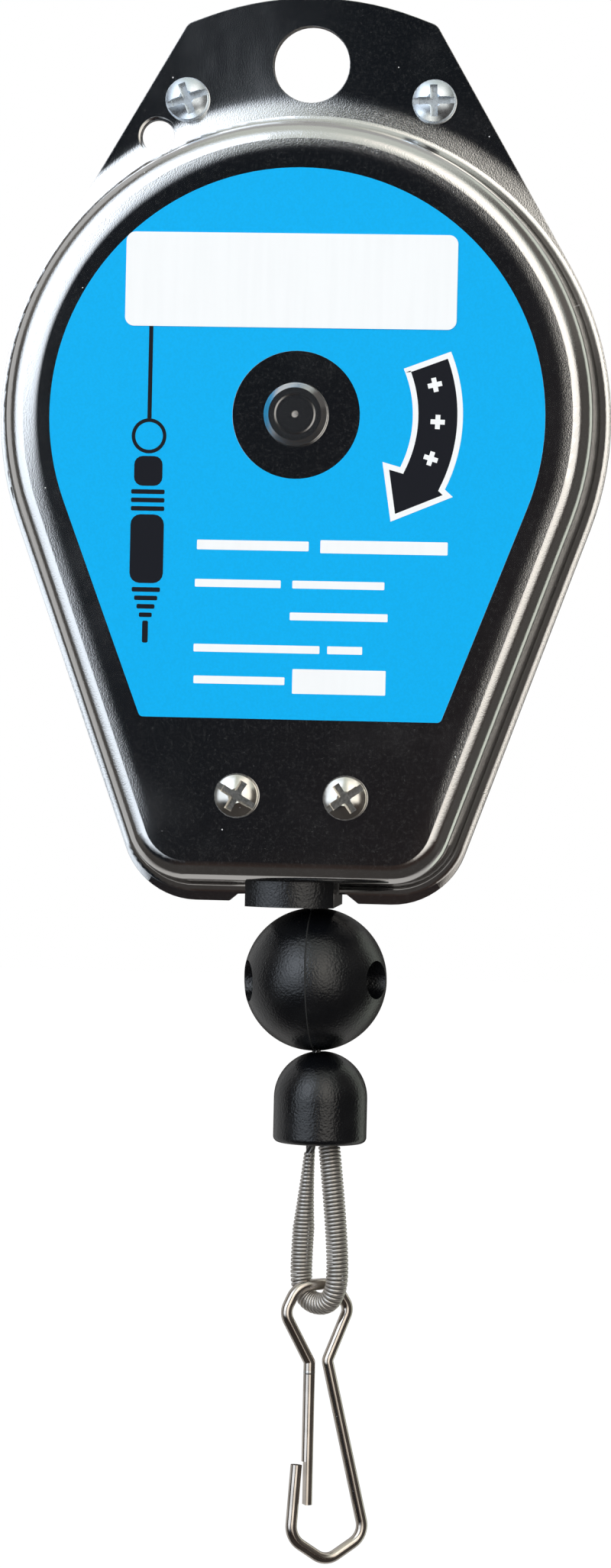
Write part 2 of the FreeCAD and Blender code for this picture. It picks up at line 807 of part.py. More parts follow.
def power_spring():
    """Flat strip wound from the arbor's slot out to the post in the drum."""
    inner = core_diameter / 2 + soft_gap
    outer = rim_inner - post_height - soft_gap
    step = (outer - inner - strip_thickness) / (2 * strip_turns)

    def spiral(grow):
        """Half circles of growing radius, centred in turn on two points."""
        edges = []
        radius = inner + grow
        for i in range(2 * strip_turns):
            centre = 0.0 if i % 2 == 0 else step
            side = 1 if i % 2 == 0 else -1
            edges.append(Part.Arc(
                V(centre + side * radius, 0, 0),
                V(centre, 0, side * radius),
                V(centre - side * radius, 0, 0),
            ).toShape())
            radius += step
        return edges

    near = spiral(0.0)
    far = spiral(strip_thickness)
    first_near = near[0].valueAt(near[0].FirstParameter)
    first_far = far[0].valueAt(far[0].FirstParameter)
    start = Part.LineSegment(first_near, first_far).toShape()
    last_near = near[-1].valueAt(near[-1].LastParameter)
    last_far = far[-1].valueAt(far[-1].LastParameter)
    stop = Part.LineSegment(last_near, last_far).toShape()
    wire = Part.Wire(Part.sortEdges(near + far + [start, stop])[0])
    front = -core_half + strip_side_gap
    width = drum_back - strip_side_gap - front
    strip = plate(wire, width)
    strip.translate(V(0, front, 0))
    tab = Part.makeBox(spring_slot_depth, width, strip_thickness,
                       V(inner + strip_thickness - spring_slot_depth, front, -strip_thickness / 2))
    catch = Part.makeBox(post_height + soft_gap, width, strip_thickness,
                         V(outer - strip_thickness, front, -strip_thickness / 2))
    return strip.fuse(tab).fuse(catch)


def rope_anchor():
    """The crimp on the rope's end, in its pocket in the drum's front flange."""
    point = polar((rim_outer + rim_inner) / 2, anchor_angle)
    length = 3 * rope_diameter
    front = seat_gap - drum_front
    return across(2 * rope_diameter, point.x, point.z, front, front + length - 2 * seat_gap)


def rope_winding():
    """The rope's turns on the drum, as one ring of their outer shape."""
    inner = drum_pitch_radius - rope_diameter / 2
    start = -drum_front + drum_flange_thickness + soft_gap
    stop = rope_rest_y - rope_diameter / 2 - 0.75 * rope_pitch
    outer = inner + rope_diameter
    edge = rope_diameter / 3
    return turned([
        (inner, start), (outer - edge, start), (outer, start + edge),
        (outer, stop - edge), (outer - edge, stop), (inner, stop),
    ])


# ---- Rope and guide -------------------------------------------------------

def rope_corner():
    """Where the rope's lead from the drum meets its hanging line, inside the guide."""
    return V(leaning_x(rope_corner_z), 0, rope_corner_z)


def drum_tangent():
    """Where the lead leaves the drum, on its left side seen from the front."""
    corner = rope_corner()
    reach = math.hypot(corner.x, corner.z)
    bearing = math.degrees(math.atan2(corner.z, corner.x))
    swing = math.degrees(math.acos(drum_pitch_radius / reach))
    return polar(drum_pitch_radius, bearing - swing, rope_rest_y)


def rope_lead():
    """The rope from the drum through the guide and the stop ball to the crimp in the cap."""
    end_z = ferrule_top()
    points = [drum_tangent(), rope_corner(), V(leaning_x(end_z), 0, end_z)]
    return bent_wire(points, [0, rope_bend_radius, 0], rope_diameter)


def guide_block():
    """Moulded rope guide: a wide body held by the foot screws and a neck that stands out of the notch."""
    depth = 2 * (inner_y - seat_gap)
    half = guide_body_width / 2
    height = guide_body_top - guide_body_bottom
    body = Part.makeBox(guide_body_width, depth, height, V(-half, -depth / 2, guide_body_bottom))
    body = body.makeFillet(guide_edge_radius, body.Edges)
    block = body.fuse(guide_neck(0, guide_foot_z, guide_body_bottom + height / 2))
    corner = rope_corner()
    exit_point = V(guide_exit_x, 0, guide_foot_z)
    down = (exit_point - corner).normalize()
    bore = rope_diameter + 2 * soft_gap
    block = block.cut(rod(bore, corner, exit_point + down))
    block = block.cut(Part.makeCone(bore / 2, bore, bore / 2, exit_point - down * bore / 2, down))
    up = (drum_tangent() - corner)
    up.y = 0
    up.normalize()
    side = V(up.z, 0, -up.x)
    reach = (guide_body_top + 1 - corner.z) / up.z
    root = Part.Wire(Part.makeCircle(bore * 0.9, corner - up * bore * 0.4, up))
    mouth_centre = corner + up * reach
    mouth_deep = mouth_centre + REAR * (bore * 0.9 + guide_fan)
    mouth = Part.Ellipse(mouth_deep, mouth_centre + side * bore * 1.1, mouth_centre)
    block = block.cut(Part.makeLoft([root, Part.Wire(mouth.toShape())], True, True))
    for x in foot_screw_places:
        block = block.cut(across(screw_diameter + 2 * bolt_gap, x, foot_screw_z, -depth, depth))
    return block


# ---- Hanging chain --------------------------------------------------------

def ball_frame(z):
    """Placement of the ball's own axes on the hanging rope."""
    turn = FreeCAD.Rotation(V(0, 0, 1), ball_turn)
    lean = FreeCAD.Rotation(V(0, 1, 0), -chain_lean)
    return FreeCAD.Placement(V(leaning_x(z), 0, z), lean.multiply(turn))


def ball_half(side):
    """One half of the stop ball, with its half of the rope hole and its screw holes and pockets."""
    ball = Part.makeSphere(ball_radius)
    wide = 2 * ball_radius
    box = Part.makeBox(wide, 2 * wide, 2 * wide, V(0, -wide, -wide))
    if side < 0:
        box.translate(V(-wide, 0, 0))
    half = ball.common(box)
    half = half.cut(rod(rope_diameter + 2 * thread_gap, V(0, 0, -wide), V(0, 0, wide)))
    pocket = ball_head_pocket if side > 0 else ball_nut_pocket
    seam = ball_radius - seam_chamfer
    half = half.cut(turned([(seam, 0), (seam + 1, 0), (seam + 1, 1)], axis=V(side, 0, 0)))
    for y in (-ball_screw_y, ball_screw_y):
        reach = side * wide
        half = half.cut(rod(ball_screw_diameter + 2 * thread_gap, V(-reach, y, 0), V(reach, y, 0)))
        half = half.cut(rod(pocket, V(side * ball_web / 2, y, 0), V(reach, y, 0)))
    half.Placement = ball_frame(ball_z)
    return half


def ball_screws():
    """Two clamp screws across the ball, before and behind the rope."""
    length = ball_web + ball_nut_height + ball_screw_end
    screws = []
    for y in (-ball_screw_y, ball_screw_y):
        screw = pan_screw(ball_screw_diameter, ball_screw_head_diameter, ball_screw_head_height, length,
                          V(ball_web / 2, y, 0), V(-1, 0, 0), 35)
        screw.Placement = ball_frame(ball_z).multiply(screw.Placement)
        screws.append(screw)
    return screws


def ball_nuts():
    """Nuts of the clamp screws, in the pockets of the left half."""
    nuts = []
    for y in (-ball_screw_y, ball_screw_y):
        nut = hexagon(ball_nut_width, ball_nut_height, V(-ball_web / 2, y, 0), V(-1, 0, 0),
                      ball_screw_diameter + 2 * thread_gap)
        nut.Placement = ball_frame(ball_z).multiply(nut.Placement)
        nuts.append(nut)
    return nuts


def cap_x():
    """The cap sits a little aside on the rope."""
    return leaning_x(cap_z) + cap_drift


def bell_cap():
    """A domed cup over the crimp, open below."""
    outer = Part.makeSphere(cap_radius).fuse(Part.makeCylinder(cap_radius, cap_skirt, V(0, 0, -cap_skirt)))
    wide = 4 * cap_radius
    lower = Part.makeBox(wide, wide, cap_skirt + cap_radius, V(-wide / 2, -wide / 2, -cap_skirt))
    outer = outer.common(lower).removeSplitter()
    lip = [e for e in outer.Edges if abs(e.BoundBox.ZMax + cap_skirt) < 1e-4]
    outer = outer.makeFillet(cap_lip_radius, lip)
    inner_radius = cap_radius - cap_wall
    bore = Part.makeCylinder(inner_radius, cap_skirt + 1, V(0, 0, -cap_skirt - 1))
    inner = Part.makeSphere(inner_radius).fuse(bore)
    cap = outer.cut(inner)
    cap = cap.cut(rod(rope_diameter + 4 * soft_gap, V(-cap_drift, 0, 0), V(-cap_drift, 0, 2 * cap_radius)))
    cap.translate(V(cap_x(), 0, cap_z))
    return cap


def ferrule_top():
    """Height of the crimp's top, just under the dome."""
    return cap_z + ferrule_rise


def loop_frame():
    """Placement of the rope loop: yawed, and hanging from the crimp."""
    yaw = FreeCAD.Rotation(V(0, 0, 1), loop_yaw)
    tilt = FreeCAD.Rotation(V(0, 1, 0), -loop_tilt)
    return FreeCAD.Placement(V(leaning_x(cap_foot_z) + loop_drift, 0, cap_foot_z), tilt.multiply(yaw))


def ferrule():
    """The crimp that closes the rope into a loop, with both ropes side by side."""
    top = ferrule_top() - seat_gap - cap_foot_z
    half = ferrule_width / 2
    deep = ferrule_depth / 2
    low = top - ferrule_length
    corners = [V(-half, -deep, low), V(half, -deep, low), V(half, deep, low), V(-half, deep, low)]
    wire = rounded_wire(corners, [deep * 0.95] * 4, True)
    body = Part.Face(wire).extrude(V(0, 0, ferrule_length))
    body.Placement = loop_frame()
    return body


def loop_points(right_end, left_end):
    """Corners of the loop in its own plane, down one leg and up the other, to each leg's end."""
    wide = loop_half_width
    slope = (wide - loop_neck_half_width) / loop_shoulder
    return [
        V(loop_neck_half_width - right_end * slope, 0, right_end),
        V(wide, 0, -loop_shoulder), V(wide, 0, -loop_drop),
        V(-wide, 0, -loop_drop), V(-wide, 0, -loop_shoulder),
        V(left_end * slope - loop_neck_half_width, 0, left_end),
    ]


def rope_loop():
    """The end of the rope, from the crimp round the loop and back."""
    top = ferrule_top() - seat_gap - soft_gap - cap_foot_z - ferrule_length
    neck = guard_long_end + soft_gap
    points = [V(ferrule_legs / 2, 0, top)] + loop_points(neck, neck) + [V(-ferrule_legs / 2, 0, top)]
    bend = loop_half_width - seat_gap
    radii = [0, rope_diameter, leg_bend_radius, bend, bend, leg_bend_radius, rope_diameter, 0]
    loop = bent_wire(points, radii, rope_diameter)
    loop.Placement = loop_frame()
    return loop


def coil_guard():
    """The wire guard round the loop, as a tube of the coil's outer and inner diameters."""
    points = loop_points(guard_long_end, -guard_short_end)
    bend = loop_half_width - seat_gap
    radii = [0, leg_bend_radius, bend, bend, leg_bend_radius, 0]
    guard = bent_wire(points, radii, guard_diameter)
    bore = bent_wire(points, radii, rope_diameter + 2 * soft_gap)
    guard = guard.cut(bore)
    guard.Placement = loop_frame()
    return guard


def hook_place():
    """Placement of the hook's plane: yawed, tilted, its eye resting on the bottom of the loop."""
    seat = loop_frame().multVec(V(0, 0, -loop_drop + guard_diameter / 2))
    yaw = FreeCAD.Rotation(V(0, 0, 1), hook_yaw)
    tilt = FreeCAD.Rotation(V(0, 1, 0), -hook_tilt)
    return FreeCAD.Placement(seat + V(0, 0, soft_gap), tilt.multiply(yaw))


def gate_line():
    """The gate leg's direction and its hinge point, in the hook's own plane."""
    waist = V(-hook_waist_x, 0, hook_waist_z)
    along = (V(gate_end_x, 0, gate_end_z) - waist).normalize()
    return along, waist + along * gate_hinge_drop


def hook_frame():
    """The rigid part of the snap hook: left waist, eye, long leg, bow and nose."""
    hinge = gate_line()[1]
    eye = hook_eye_half_width
    wide = eye + hook_shoulder_out
    crown = eye * hook_crown_share
    top = hook_wire / 2
    points = [
        hinge, V(-hook_waist_x, 0, hook_waist_z), V(-wide, 0, -hook_shoulder_drop), V(-crown, 0, top),
        V(crown, 0, top), V(wide, 0, -hook_shoulder_drop), V(hook_waist_x, 0, hook_waist_z),
        V(bow_right_x, 0, bow_right_rise - hook_length), V(bow_foot_x, 0, -hook_length - bow_foot_drop),
        V(bow_left_x, 0, bow_left_rise - hook_length), V(nose_x, 0, nose_z),
    ]
    frame = bent_wire(points, [0, *hook_bends, 0], hook_wire)
    frame = frame.cut(Part.makeSphere(gate_knuckle_radius + running_gap, hinge))
    frame.Placement = hook_place()
    return frame


def hook_gate():
    """The sprung leg of the hook, from its knuckle at the waist down to the flattened tip."""
    along, hinge = gate_line()
    tip = V(gate_end_x, 0, gate_end_z)
    gate = rod(hook_wire, hinge + along * gate_end_gap, tip)
    gate = gate.fuse(Part.makeSphere(gate_knuckle_radius, hinge))
    flat = Part.makeBox(hook_wire, hook_wire, gate_tip_length)
    flat.translate(V(hook_wire / 2 - gate_tip_thickness - hook_wire, -hook_wire / 2, 0))
    flat.Placement = FreeCAD.Placement(tip, FreeCAD.Rotation(V(0, 0, -1), along)).multiply(flat.Placement)
    gate = gate.cut(flat)
    gate.Placement = hook_place()
    return gate


# ---- Output ---------------------------------------------------------------

def save(name, solids):
    """Writes a node, with the hanging eye at the origin."""
    shape = Part.makeCompound(solids) if isinstance(solids, list) else solids
    shape.translate(V(0, 0, -eye_height))
    for solid in shape.Solids:
        if not solid.isValid():
            print("not valid:", name)
    print(f"{name:18s} solids {len(shape.Solids)} volume {shape.Volume:10.1f}")
    shape.exportStep(f"parts/{name}.step")


os.makedirs("parts", exist_ok=True)
save("front_cover", front_cover())
save("rear_cover", rear_cover())
save("front_label", front_label())
save("blank_sticker", blank_sticker())
save("top_screws", top_screws())
save("foot_screws", foot_screws())
save("top_nuts", top_nuts())
save("foot_nuts", foot_nuts())
save("guide_block", guide_block())
save("arbor", arbor())
save("thrust_washers", thrust_washers())
save("ratchet_wheel", ratchet_wheel())
save("arbor_clip", arbor_clip())
save("pawl", pawl())
save("pawl_rivet", pawl_rivet())
save("pawl_spring", pawl_spring())
save("drum", drum())
save("drum_cover", drum_cover())
save("drum_screws", drum_screws())
save("drum_bushes", drum_bushes())
save("power_spring", power_spring())
save("rope_winding", rope_winding())
save("rope_anchor", rope_anchor())
save("rope_lead", rope_lead())
save("ball_half_left", ball_half(-1))
save("ball_half_right", ball_half(1))
save("ball_screws", ball_screws())
save("ball_nuts", ball_nuts())
save("bell_cap", bell_cap())
save("ferrule", ferrule())
save("rope_loop", rope_loop())
save("coil_guard", coil_guard())
save("hook_frame", hook_frame())
save("hook_gate", hook_gate())
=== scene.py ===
import json
import math

import bpy
from bpy.props import FloatProperty, FloatVectorProperty, IntProperty, PointerProperty
from mathutils import Matrix, Quaternion, Vector


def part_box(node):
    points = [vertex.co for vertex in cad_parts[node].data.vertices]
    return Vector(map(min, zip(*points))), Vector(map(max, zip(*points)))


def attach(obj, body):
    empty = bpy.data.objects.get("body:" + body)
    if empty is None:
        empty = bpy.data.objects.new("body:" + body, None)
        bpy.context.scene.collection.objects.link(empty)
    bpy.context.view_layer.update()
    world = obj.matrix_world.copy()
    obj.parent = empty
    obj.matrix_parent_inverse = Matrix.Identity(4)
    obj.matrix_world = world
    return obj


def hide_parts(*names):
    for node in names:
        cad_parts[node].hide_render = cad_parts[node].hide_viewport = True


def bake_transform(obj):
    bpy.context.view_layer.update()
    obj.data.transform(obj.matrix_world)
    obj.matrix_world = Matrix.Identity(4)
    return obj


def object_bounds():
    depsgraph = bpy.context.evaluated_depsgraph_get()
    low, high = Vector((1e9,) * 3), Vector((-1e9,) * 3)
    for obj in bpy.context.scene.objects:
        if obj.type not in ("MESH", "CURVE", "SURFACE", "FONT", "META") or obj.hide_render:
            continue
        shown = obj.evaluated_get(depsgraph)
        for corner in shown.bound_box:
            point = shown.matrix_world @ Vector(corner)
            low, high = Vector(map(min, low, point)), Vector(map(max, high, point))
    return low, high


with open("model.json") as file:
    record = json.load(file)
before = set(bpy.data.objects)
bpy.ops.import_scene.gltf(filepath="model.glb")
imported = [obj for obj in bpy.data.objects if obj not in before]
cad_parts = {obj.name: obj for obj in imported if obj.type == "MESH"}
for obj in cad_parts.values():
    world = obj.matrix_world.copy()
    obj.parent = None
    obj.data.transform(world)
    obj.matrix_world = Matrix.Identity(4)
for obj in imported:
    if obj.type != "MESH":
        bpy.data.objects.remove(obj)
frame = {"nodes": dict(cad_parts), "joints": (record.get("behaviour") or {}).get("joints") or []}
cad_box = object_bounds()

bl_info = {
    "name": "Tool balancer",
    "version": (1, 0, 0),
    "blender": (4, 5, 0),
    "location": "View3D > Sidebar > Balancer",
    "description": "Dresses a spring tool balancer: covers, label, rope, guarded loop and snap hook",
    "category": "Object",
}

MM = 0.001
PAN_ROOT = 46.5 * MM
PAN_FOOT = 73.0 * MM
PAN_FLANK = math.radians(19.8)
JOINTS = {joint["name"]: joint for joint in frame["joints"]}
DRUM_AXIS = Vector(JOINTS["drum_spin"]["pos_m"])
LOOP_BOTTOM = Vector(JOINTS["hook_swing"]["pos_m"])
LOOP_ACROSS = Vector(JOINTS["hook_swing"]["axis"])
GATE_HINGE = Vector(JOINTS["gate_open"]["pos_m"])


def length(name, text, value):
    """A length property in metres."""
    return FloatProperty(name=name, description=text, default=value, unit="LENGTH", precision=5)


def angle(name, text, degrees):
    """An angle property."""
    return FloatProperty(name=name, description=text, default=math.radians(degrees), unit="ROTATION")


def colour(name, text, rgb):
    """A linear colour property."""
    return FloatVectorProperty(name=name, description=text, default=rgb, size=3, subtype="COLOR",
                               min=0, max=1)


# ---- Sizes and colours ----------------------------------------------------

class BALANCER_PG_stage(bpy.types.PropertyGroup):
    """Camera, floor and light."""
    camera_side: length("Camera side", "How far right of the eye the camera stands", 0.065)
    camera_back: length("Camera back", "How far in front of the joint plane the camera stands", 0.690)
    camera_level: length("Camera level", "Height of the camera against the hanging eye", -0.1007)
    aim_side: length("Aim side", "Where the camera looks, right of the eye", 0.0014)
    aim_level: length("Aim level", "Height of the point that the camera looks at", -0.1127)
    camera_roll: angle("Camera roll", "Turn of the camera about its line of sight", 1.25)
    lens: FloatProperty(name="Lens", description="Focal length in millimetres", default=101.2)
    floor_size: length("Floor size", "Side of the floor", 4.0)
    floor_drop: length("Floor drop", "Gap between the hook and the floor", 0.03)
    floor_colour: colour("Floor", "Colour of the floor", (0.62, 0.61, 0.60))


class BALANCER_PG_loop(bpy.types.PropertyGroup):
    """The rope and its guarded loop. Heights are above the bottom of the loop."""
    rope_diameter: length("Rope diameter", "Diameter of the laid steel rope", 0.0015)
    rope_lay: length("Rope lay", "Length of one turn of the rope's strands", 0.009)
    corner_rise: length("Corner rise", "Height of the rope's bend above the foot of the guide", 0.0086)
    hang: angle("Hang", "How far the hanging rope leans", 2.1)
    bend_reach: length("Bend reach", "Run of the rope taken up by its bend in the guide", 0.0086)
    strands: IntProperty(name="Strands", description="Strands laid round the core", default=6)
    guard_diameter: length("Guard diameter", "Outside of the coiled wire guard", 0.0035)
    guard_wire: length("Guard wire", "Wire of the guard", 0.00053)
    guard_turns: IntProperty(name="Guard turns", description="Turns of the guard", default=91)
    guard_pitch: length("Guard pitch", "Advance of one turn of the guard", 0.00061)
    half_width: length("Half width", "Middle of the loop to the rope's middle", 0.00392)
    neck_half_width: length("Neck half width", "The same at the foot of the bell cap", 0.00200)
    shoulder: length("Shoulder", "Height where the legs start to lean in", 0.0099)
    drop: length("Drop", "Height of the foot of the bell cap", 0.0254)
    long_end: length("Long end", "How far the guard goes on above that on the right", 0.0012)
    short_end: length("Short end", "How far it stops short of that on the left", 0.0015)
    sway: length("Sway", "How far the loop's bottom hangs aside of its neck", 0.0005)
    bulge: length("Bulge", "How far the right leg stands out more than the left", 0.0003)
    drawn_end: length("Drawn end", "Length of the coil drawn narrow at its left end", 0.012)
    drawn_share: FloatProperty(name="Drawn share", description="Width left at the drawn end", default=0.5)


class BALANCER_PG_print(bpy.types.PropertyGroup):
    """The print on the label, measured from the drum's axis."""
    ink: length("Ink", "Thickness of the print", 0.00002)
    arrow_inner: length("Arrow inner radius", "Inside of the turning arrow", 0.0180)
    arrow_outer: length("Arrow outer radius", "Outside of the turning arrow", 0.0257)
    arrow_start: angle("Arrow start", "Upper end of the arrow", 23.0)
    arrow_stop: angle("Arrow stop", "Where the arrow's head starts", -25.6)
    arrow_tip: angle("Arrow tip", "Point of the arrow's head", -47.3)
    arrow_outline: length("Arrow outline", "White line round the arrow", 0.00085)
    arrow_skew: angle("Arrow skew", "How far the arrow's inner corner stands past its start", 1.0)
    barb_in: length("Inner barb", "How far the head stands inside the arrow", 0.0028)
    barb_in_turn: angle("Inner barb turn", "How far the inner barb lies past the head's start", 1.9)
    barb_out: length("Outer barb", "How far the head stands outside the arrow", 0.0016)
    barb_out_turn: angle("Outer barb turn", "The same for the outer barb", 1.0)
    tip_radius: length("Tip radius", "Radius at which the arrow's point lies", 0.022)
    plus_reach: length("Plus reach", "Half the length of a plus sign's arms", 0.0011)
    plus_width: length("Plus width", "Width of a plus sign's arms", 0.00075)
    line_round: length("Line round", "Rounding of the blank lines", 0.00015)
    motif_top: length("Weight top", "Top of the weight's ring, above the drum's axis", -0.0009)
    motif_ring: length("Weight ring", "Radius of the weight's ring", 0.0027)
    motif_ring_width: length("Weight ring width", "Width of that ring's line", 0.00055)
    motif_cord: length("Weight cord", "Width of the line that holds the weight", 0.00064)
    motif_across: length("Weight across", "Middle of the printed weight", -0.0227)


class BALANCER_PG_finish(bpy.types.PropertyGroup):
    """Colours of the finishes."""
    plating: colour("Plating", "Nickel plate of the covers", (0.78, 0.77, 0.755))
    label: colour("Label", "Printed ground of the label", (0.0, 0.44, 0.89))
    sticker: colour("Sticker", "Blank sticker", (0.93, 0.94, 0.95))
    ink: colour("Ink", "Black print", (0.006, 0.007, 0.012))
    moulding: colour("Moulding", "Black moulded plastic", (0.003, 0.0034, 0.0045))
    zinc: colour("Zinc", "Zinc plate of the upper screws", (0.84, 0.91, 0.97))
    nickel: colour("Nickel", "Nickel plate of the lower screws", (0.92, 0.89, 0.82))
    hook: colour("Hook", "Nickel plate of the hook", (0.74, 0.67, 0.60))
    guard: colour("Guard", "Nickel plate of the coiled guard", (0.55, 0.44, 0.34))
    rope: colour("Rope", "Bare steel rope", (0.32, 0.31, 0.30))
    turned: colour("Turned steel", "Arbor, rivet and washers", (0.62, 0.62, 0.62))
    spring: colour("Spring steel", "Blued strip and wire", (0.16, 0.18, 0.22))
    bronze: colour("Bronze", "Drum bushes", (0.55, 0.36, 0.16))
    casting: colour("Casting", "Die cast drum", (0.55, 0.56, 0.57))


class BALANCER_PG_small(bpy.types.PropertyGroup):
    """Small dressings of the ball and the hook."""
    seam_width: length("Seam width", "Width of the raised parting line of the stop ball", 0.00026)
    ball_turn: angle("Ball turn", "Turn of the ball's halves about the rope", -3.2)
    hinge_wide: length("Hinge width", "Width of the swell where the gate bends", 0.00184)
    hinge_long: length("Hinge length", "Length of that swell", 0.0026)


# ---- Nodes ----------------------------------------------------------------

def put(tree, kind, inputs=None, **settings):
    """Adds a node, sets its properties and fills its inputs with values or links."""
    node = tree.nodes.new(kind)
    for name, value in settings.items():
        setattr(node, name, value)
    for key, value in (inputs or {}).items():
        if isinstance(value, bpy.types.NodeSocket):
            tree.links.new(value, node.inputs[key])
        else:
            node.inputs[key].default_value = value
    return node


def math_node(tree, operation, first, second=0.0, clamp=False):
    """A Math node's output."""
    node = put(tree, "ShaderNodeMath", {0: first, 1: second}, operation=operation, use_clamp=clamp)
    return node.outputs[0]


def ramp(tree, value, low, high, to_low=0.0, to_high=1.0):
    """A smooth step of a value from one range to another."""
    node = put(tree, "ShaderNodeMapRange", {
        "Value": value, "From Min": low, "From Max": high, "To Min": to_low, "To Max": to_high,
    }, interpolation_type="SMOOTHSTEP")
    return node.outputs["Result"]


def noise(tree, vector, scale, detail=2.0, roughness=0.5):
    """A noise texture's value. The scale is in waves per metre."""
    node = put(tree, "ShaderNodeTexNoise", {
        "Vector": vector, "Scale": scale, "Detail": detail, "Roughness": roughness,
    })
    return node.outputs["Fac"]


def stretched(tree, vector, factors):
    """Coordinates scaled differently along each axis."""
    return put(tree, "ShaderNodeVectorMath", {0: vector, 1: factors}, operation="MULTIPLY").outputs[0]


def mixed(tree, mask, first, second):
    """A colour between two, by a mask."""
    node = put(tree, "ShaderNodeMix", {"Factor": mask}, data_type="RGBA")
    for socket, value in ((node.inputs[6], first), (node.inputs[7], second)):
        if isinstance(value, bpy.types.NodeSocket):
            tree.links.new(value, socket)
        else:
            socket.default_value = (*value, 1.0)
    return node.outputs[2]


def new_group(name, inputs, outputs):
    """A shader node group with named sockets. Returns the group, its inputs and its output node."""
    group = bpy.data.node_groups.new(name, "ShaderNodeTree")
    kinds = {"vector": "NodeSocketVector", "value": "NodeSocketFloat", "colour": "NodeSocketColor"}
    for label, kind in inputs:
        group.interface.new_socket(name=label, in_out="INPUT", socket_type=kinds[kind])
    for label, kind in outputs:
        group.interface.new_socket(name=label, in_out="OUTPUT", socket_type=kinds[kind])
    start = group.nodes.new("NodeGroupInput")
    end = group.nodes.new("NodeGroupOutput")
    return group, start.outputs, end


def use(tree, group, inputs):
    """Places a node group and returns its outputs."""
    node = tree.nodes.new("ShaderNodeGroup")
    node.node_tree = group
    for key, value in inputs.items():
        if isinstance(value, bpy.types.NodeSocket):
            tree.links.new(value, node.inputs[key])
        else:
            node.inputs[key].default_value = value
    return node.outputs


def leather_grain():
    """Fine cell pattern of a spark-eroded mould, with a little unevenness."""
    group, given, end = new_group("mould_grain", [("Vector", "vector"), ("Scale", "value")],
                                  [("Height", "value")])
    cells = put(group, "ShaderNodeTexVoronoi", {"Vector": given["Vector"], "Scale": given["Scale"]},
                feature="SMOOTH_F1").outputs["Distance"]
    cloud = noise(group, given["Vector"], given["Scale"], 3.0, 0.6)
    height = math_node(group, "ADD", math_node(group, "MULTIPLY", cells, 0.7),
                       math_node(group, "MULTIPLY", cloud, 0.6))
    group.links.new(height, end.inputs["Height"])
    return group


def dust():
    """Scattered tiny specks, as a mask."""
    group, given, end = new_group("dust_specks", [
        ("Vector", "vector"), ("Scale", "value"), ("Size", "value")], [("Mask", "value")])
    cell = put(group, "ShaderNodeTexVoronoi", {
        "Vector": given["Vector"], "Scale": given["Scale"], "Randomness": 1.0})
    near = math_node(group, "LESS_THAN", cell.outputs["Distance"], given["Size"])
    chance = put(group, "ShaderNodeSeparateColor", {"Color": cell.outputs["Color"]}).outputs["Red"]
    rare = math_node(group, "GREATER_THAN", chance, 0.72)
    group.links.new(math_node(group, "MULTIPLY", near, rare), end.inputs["Mask"])
    return group


def scuffs():
    """Faint smudges, as a mask."""
    group, given, end = new_group("scuffs", [("Vector", "vector")], [("Smudge", "value")])
    smudge = ramp(group, noise(group, given["Vector"], 45.0, 4.0, 0.6), 0.5, 0.75)
    group.links.new(smudge, end.inputs["Smudge"])
    return group


def new_material(name):
    """An empty material with its Principled shader. Returns the material, tree, shader and place."""
    material = bpy.data.materials.new(name)
    material.use_nodes = True
    tree = material.node_tree
    tree.nodes.clear()
    shader = tree.nodes.new("ShaderNodeBsdfPrincipled")
    out = tree.nodes.new("ShaderNodeOutputMaterial")
    tree.links.new(shader.outputs[0], out.inputs["Surface"])
    place = tree.nodes.new("ShaderNodeTexCoord").outputs["Object"]
    return material, tree, shader, place


def bump(tree, shader, height, distance):
    """Feeds a height in metres per unit into the shader's normal."""
    node = put(tree, "ShaderNodeBump", {"Height": height, "Distance": distance})
    tree.links.new(node.outputs[0], shader.inputs["Normal"])


def pan_distance():
    """Distance outwards from the root of the pan's wall: round above, straight flanks, straight bottom."""
    group, given, end = new_group("pan_distance", [("Vector", "vector")], [
        ("Distance", "value"), ("Upper left", "value"), ("Left", "value")])
    side, _, z = put(group, "ShaderNodeSeparateXYZ", {0: given["Vector"]}).outputs
    z = math_node(group, "SUBTRACT", z, DRUM_AXIS.z)
    x = math_node(group, "ABSOLUTE", side)
    cosine, sine = math.cos(PAN_FLANK), math.sin(PAN_FLANK)
    radius = math_node(group, "SQRT", math_node(group, "ADD", math_node(group, "MULTIPLY", x, x),
                                                math_node(group, "MULTIPLY", z, z)))
    flank = math_node(group, "SUBTRACT", math_node(group, "MULTIPLY", x, cosine),
                      math_node(group, "MULTIPLY", z, sine))
    along = math_node(group, "ADD", math_node(group, "MULTIPLY", x, sine),
                      math_node(group, "MULTIPLY", z, cosine))
    above = math_node(group, "GREATER_THAN", along, 0.0)
    wall = put(group, "ShaderNodeMix", {0: above, 2: flank, 3: radius}, data_type="FLOAT").outputs[0]
    wall = math_node(group, "SUBTRACT", wall, PAN_ROOT)
    foot = math_node(group, "SUBTRACT", math_node(group, "MULTIPLY", z, -1.0), PAN_FOOT)
    group.links.new(math_node(group, "MAXIMUM", wall, foot), end.inputs["Distance"])
    for label, turn in (("Upper left", 135.0), ("Left", 155.0)):
        turn = math.radians(turn)
        towards = math_node(group, "ADD", math_node(group, "MULTIPLY", side, math.cos(turn)),
                            math_node(group, "MULTIPLY", z, math.sin(turn)))
        group.links.new(math_node(group, "DIVIDE", towards, radius), end.inputs[label])
    return group


def rolled(tree, away, middle, half, slope):
    """Height of a soft bend in the sheet: it falls away outwards, steepest at the middle."""
    drop = slope * 4 * half / 3
    return ramp(tree, away, middle - half, middle + half, 0.0, -drop)


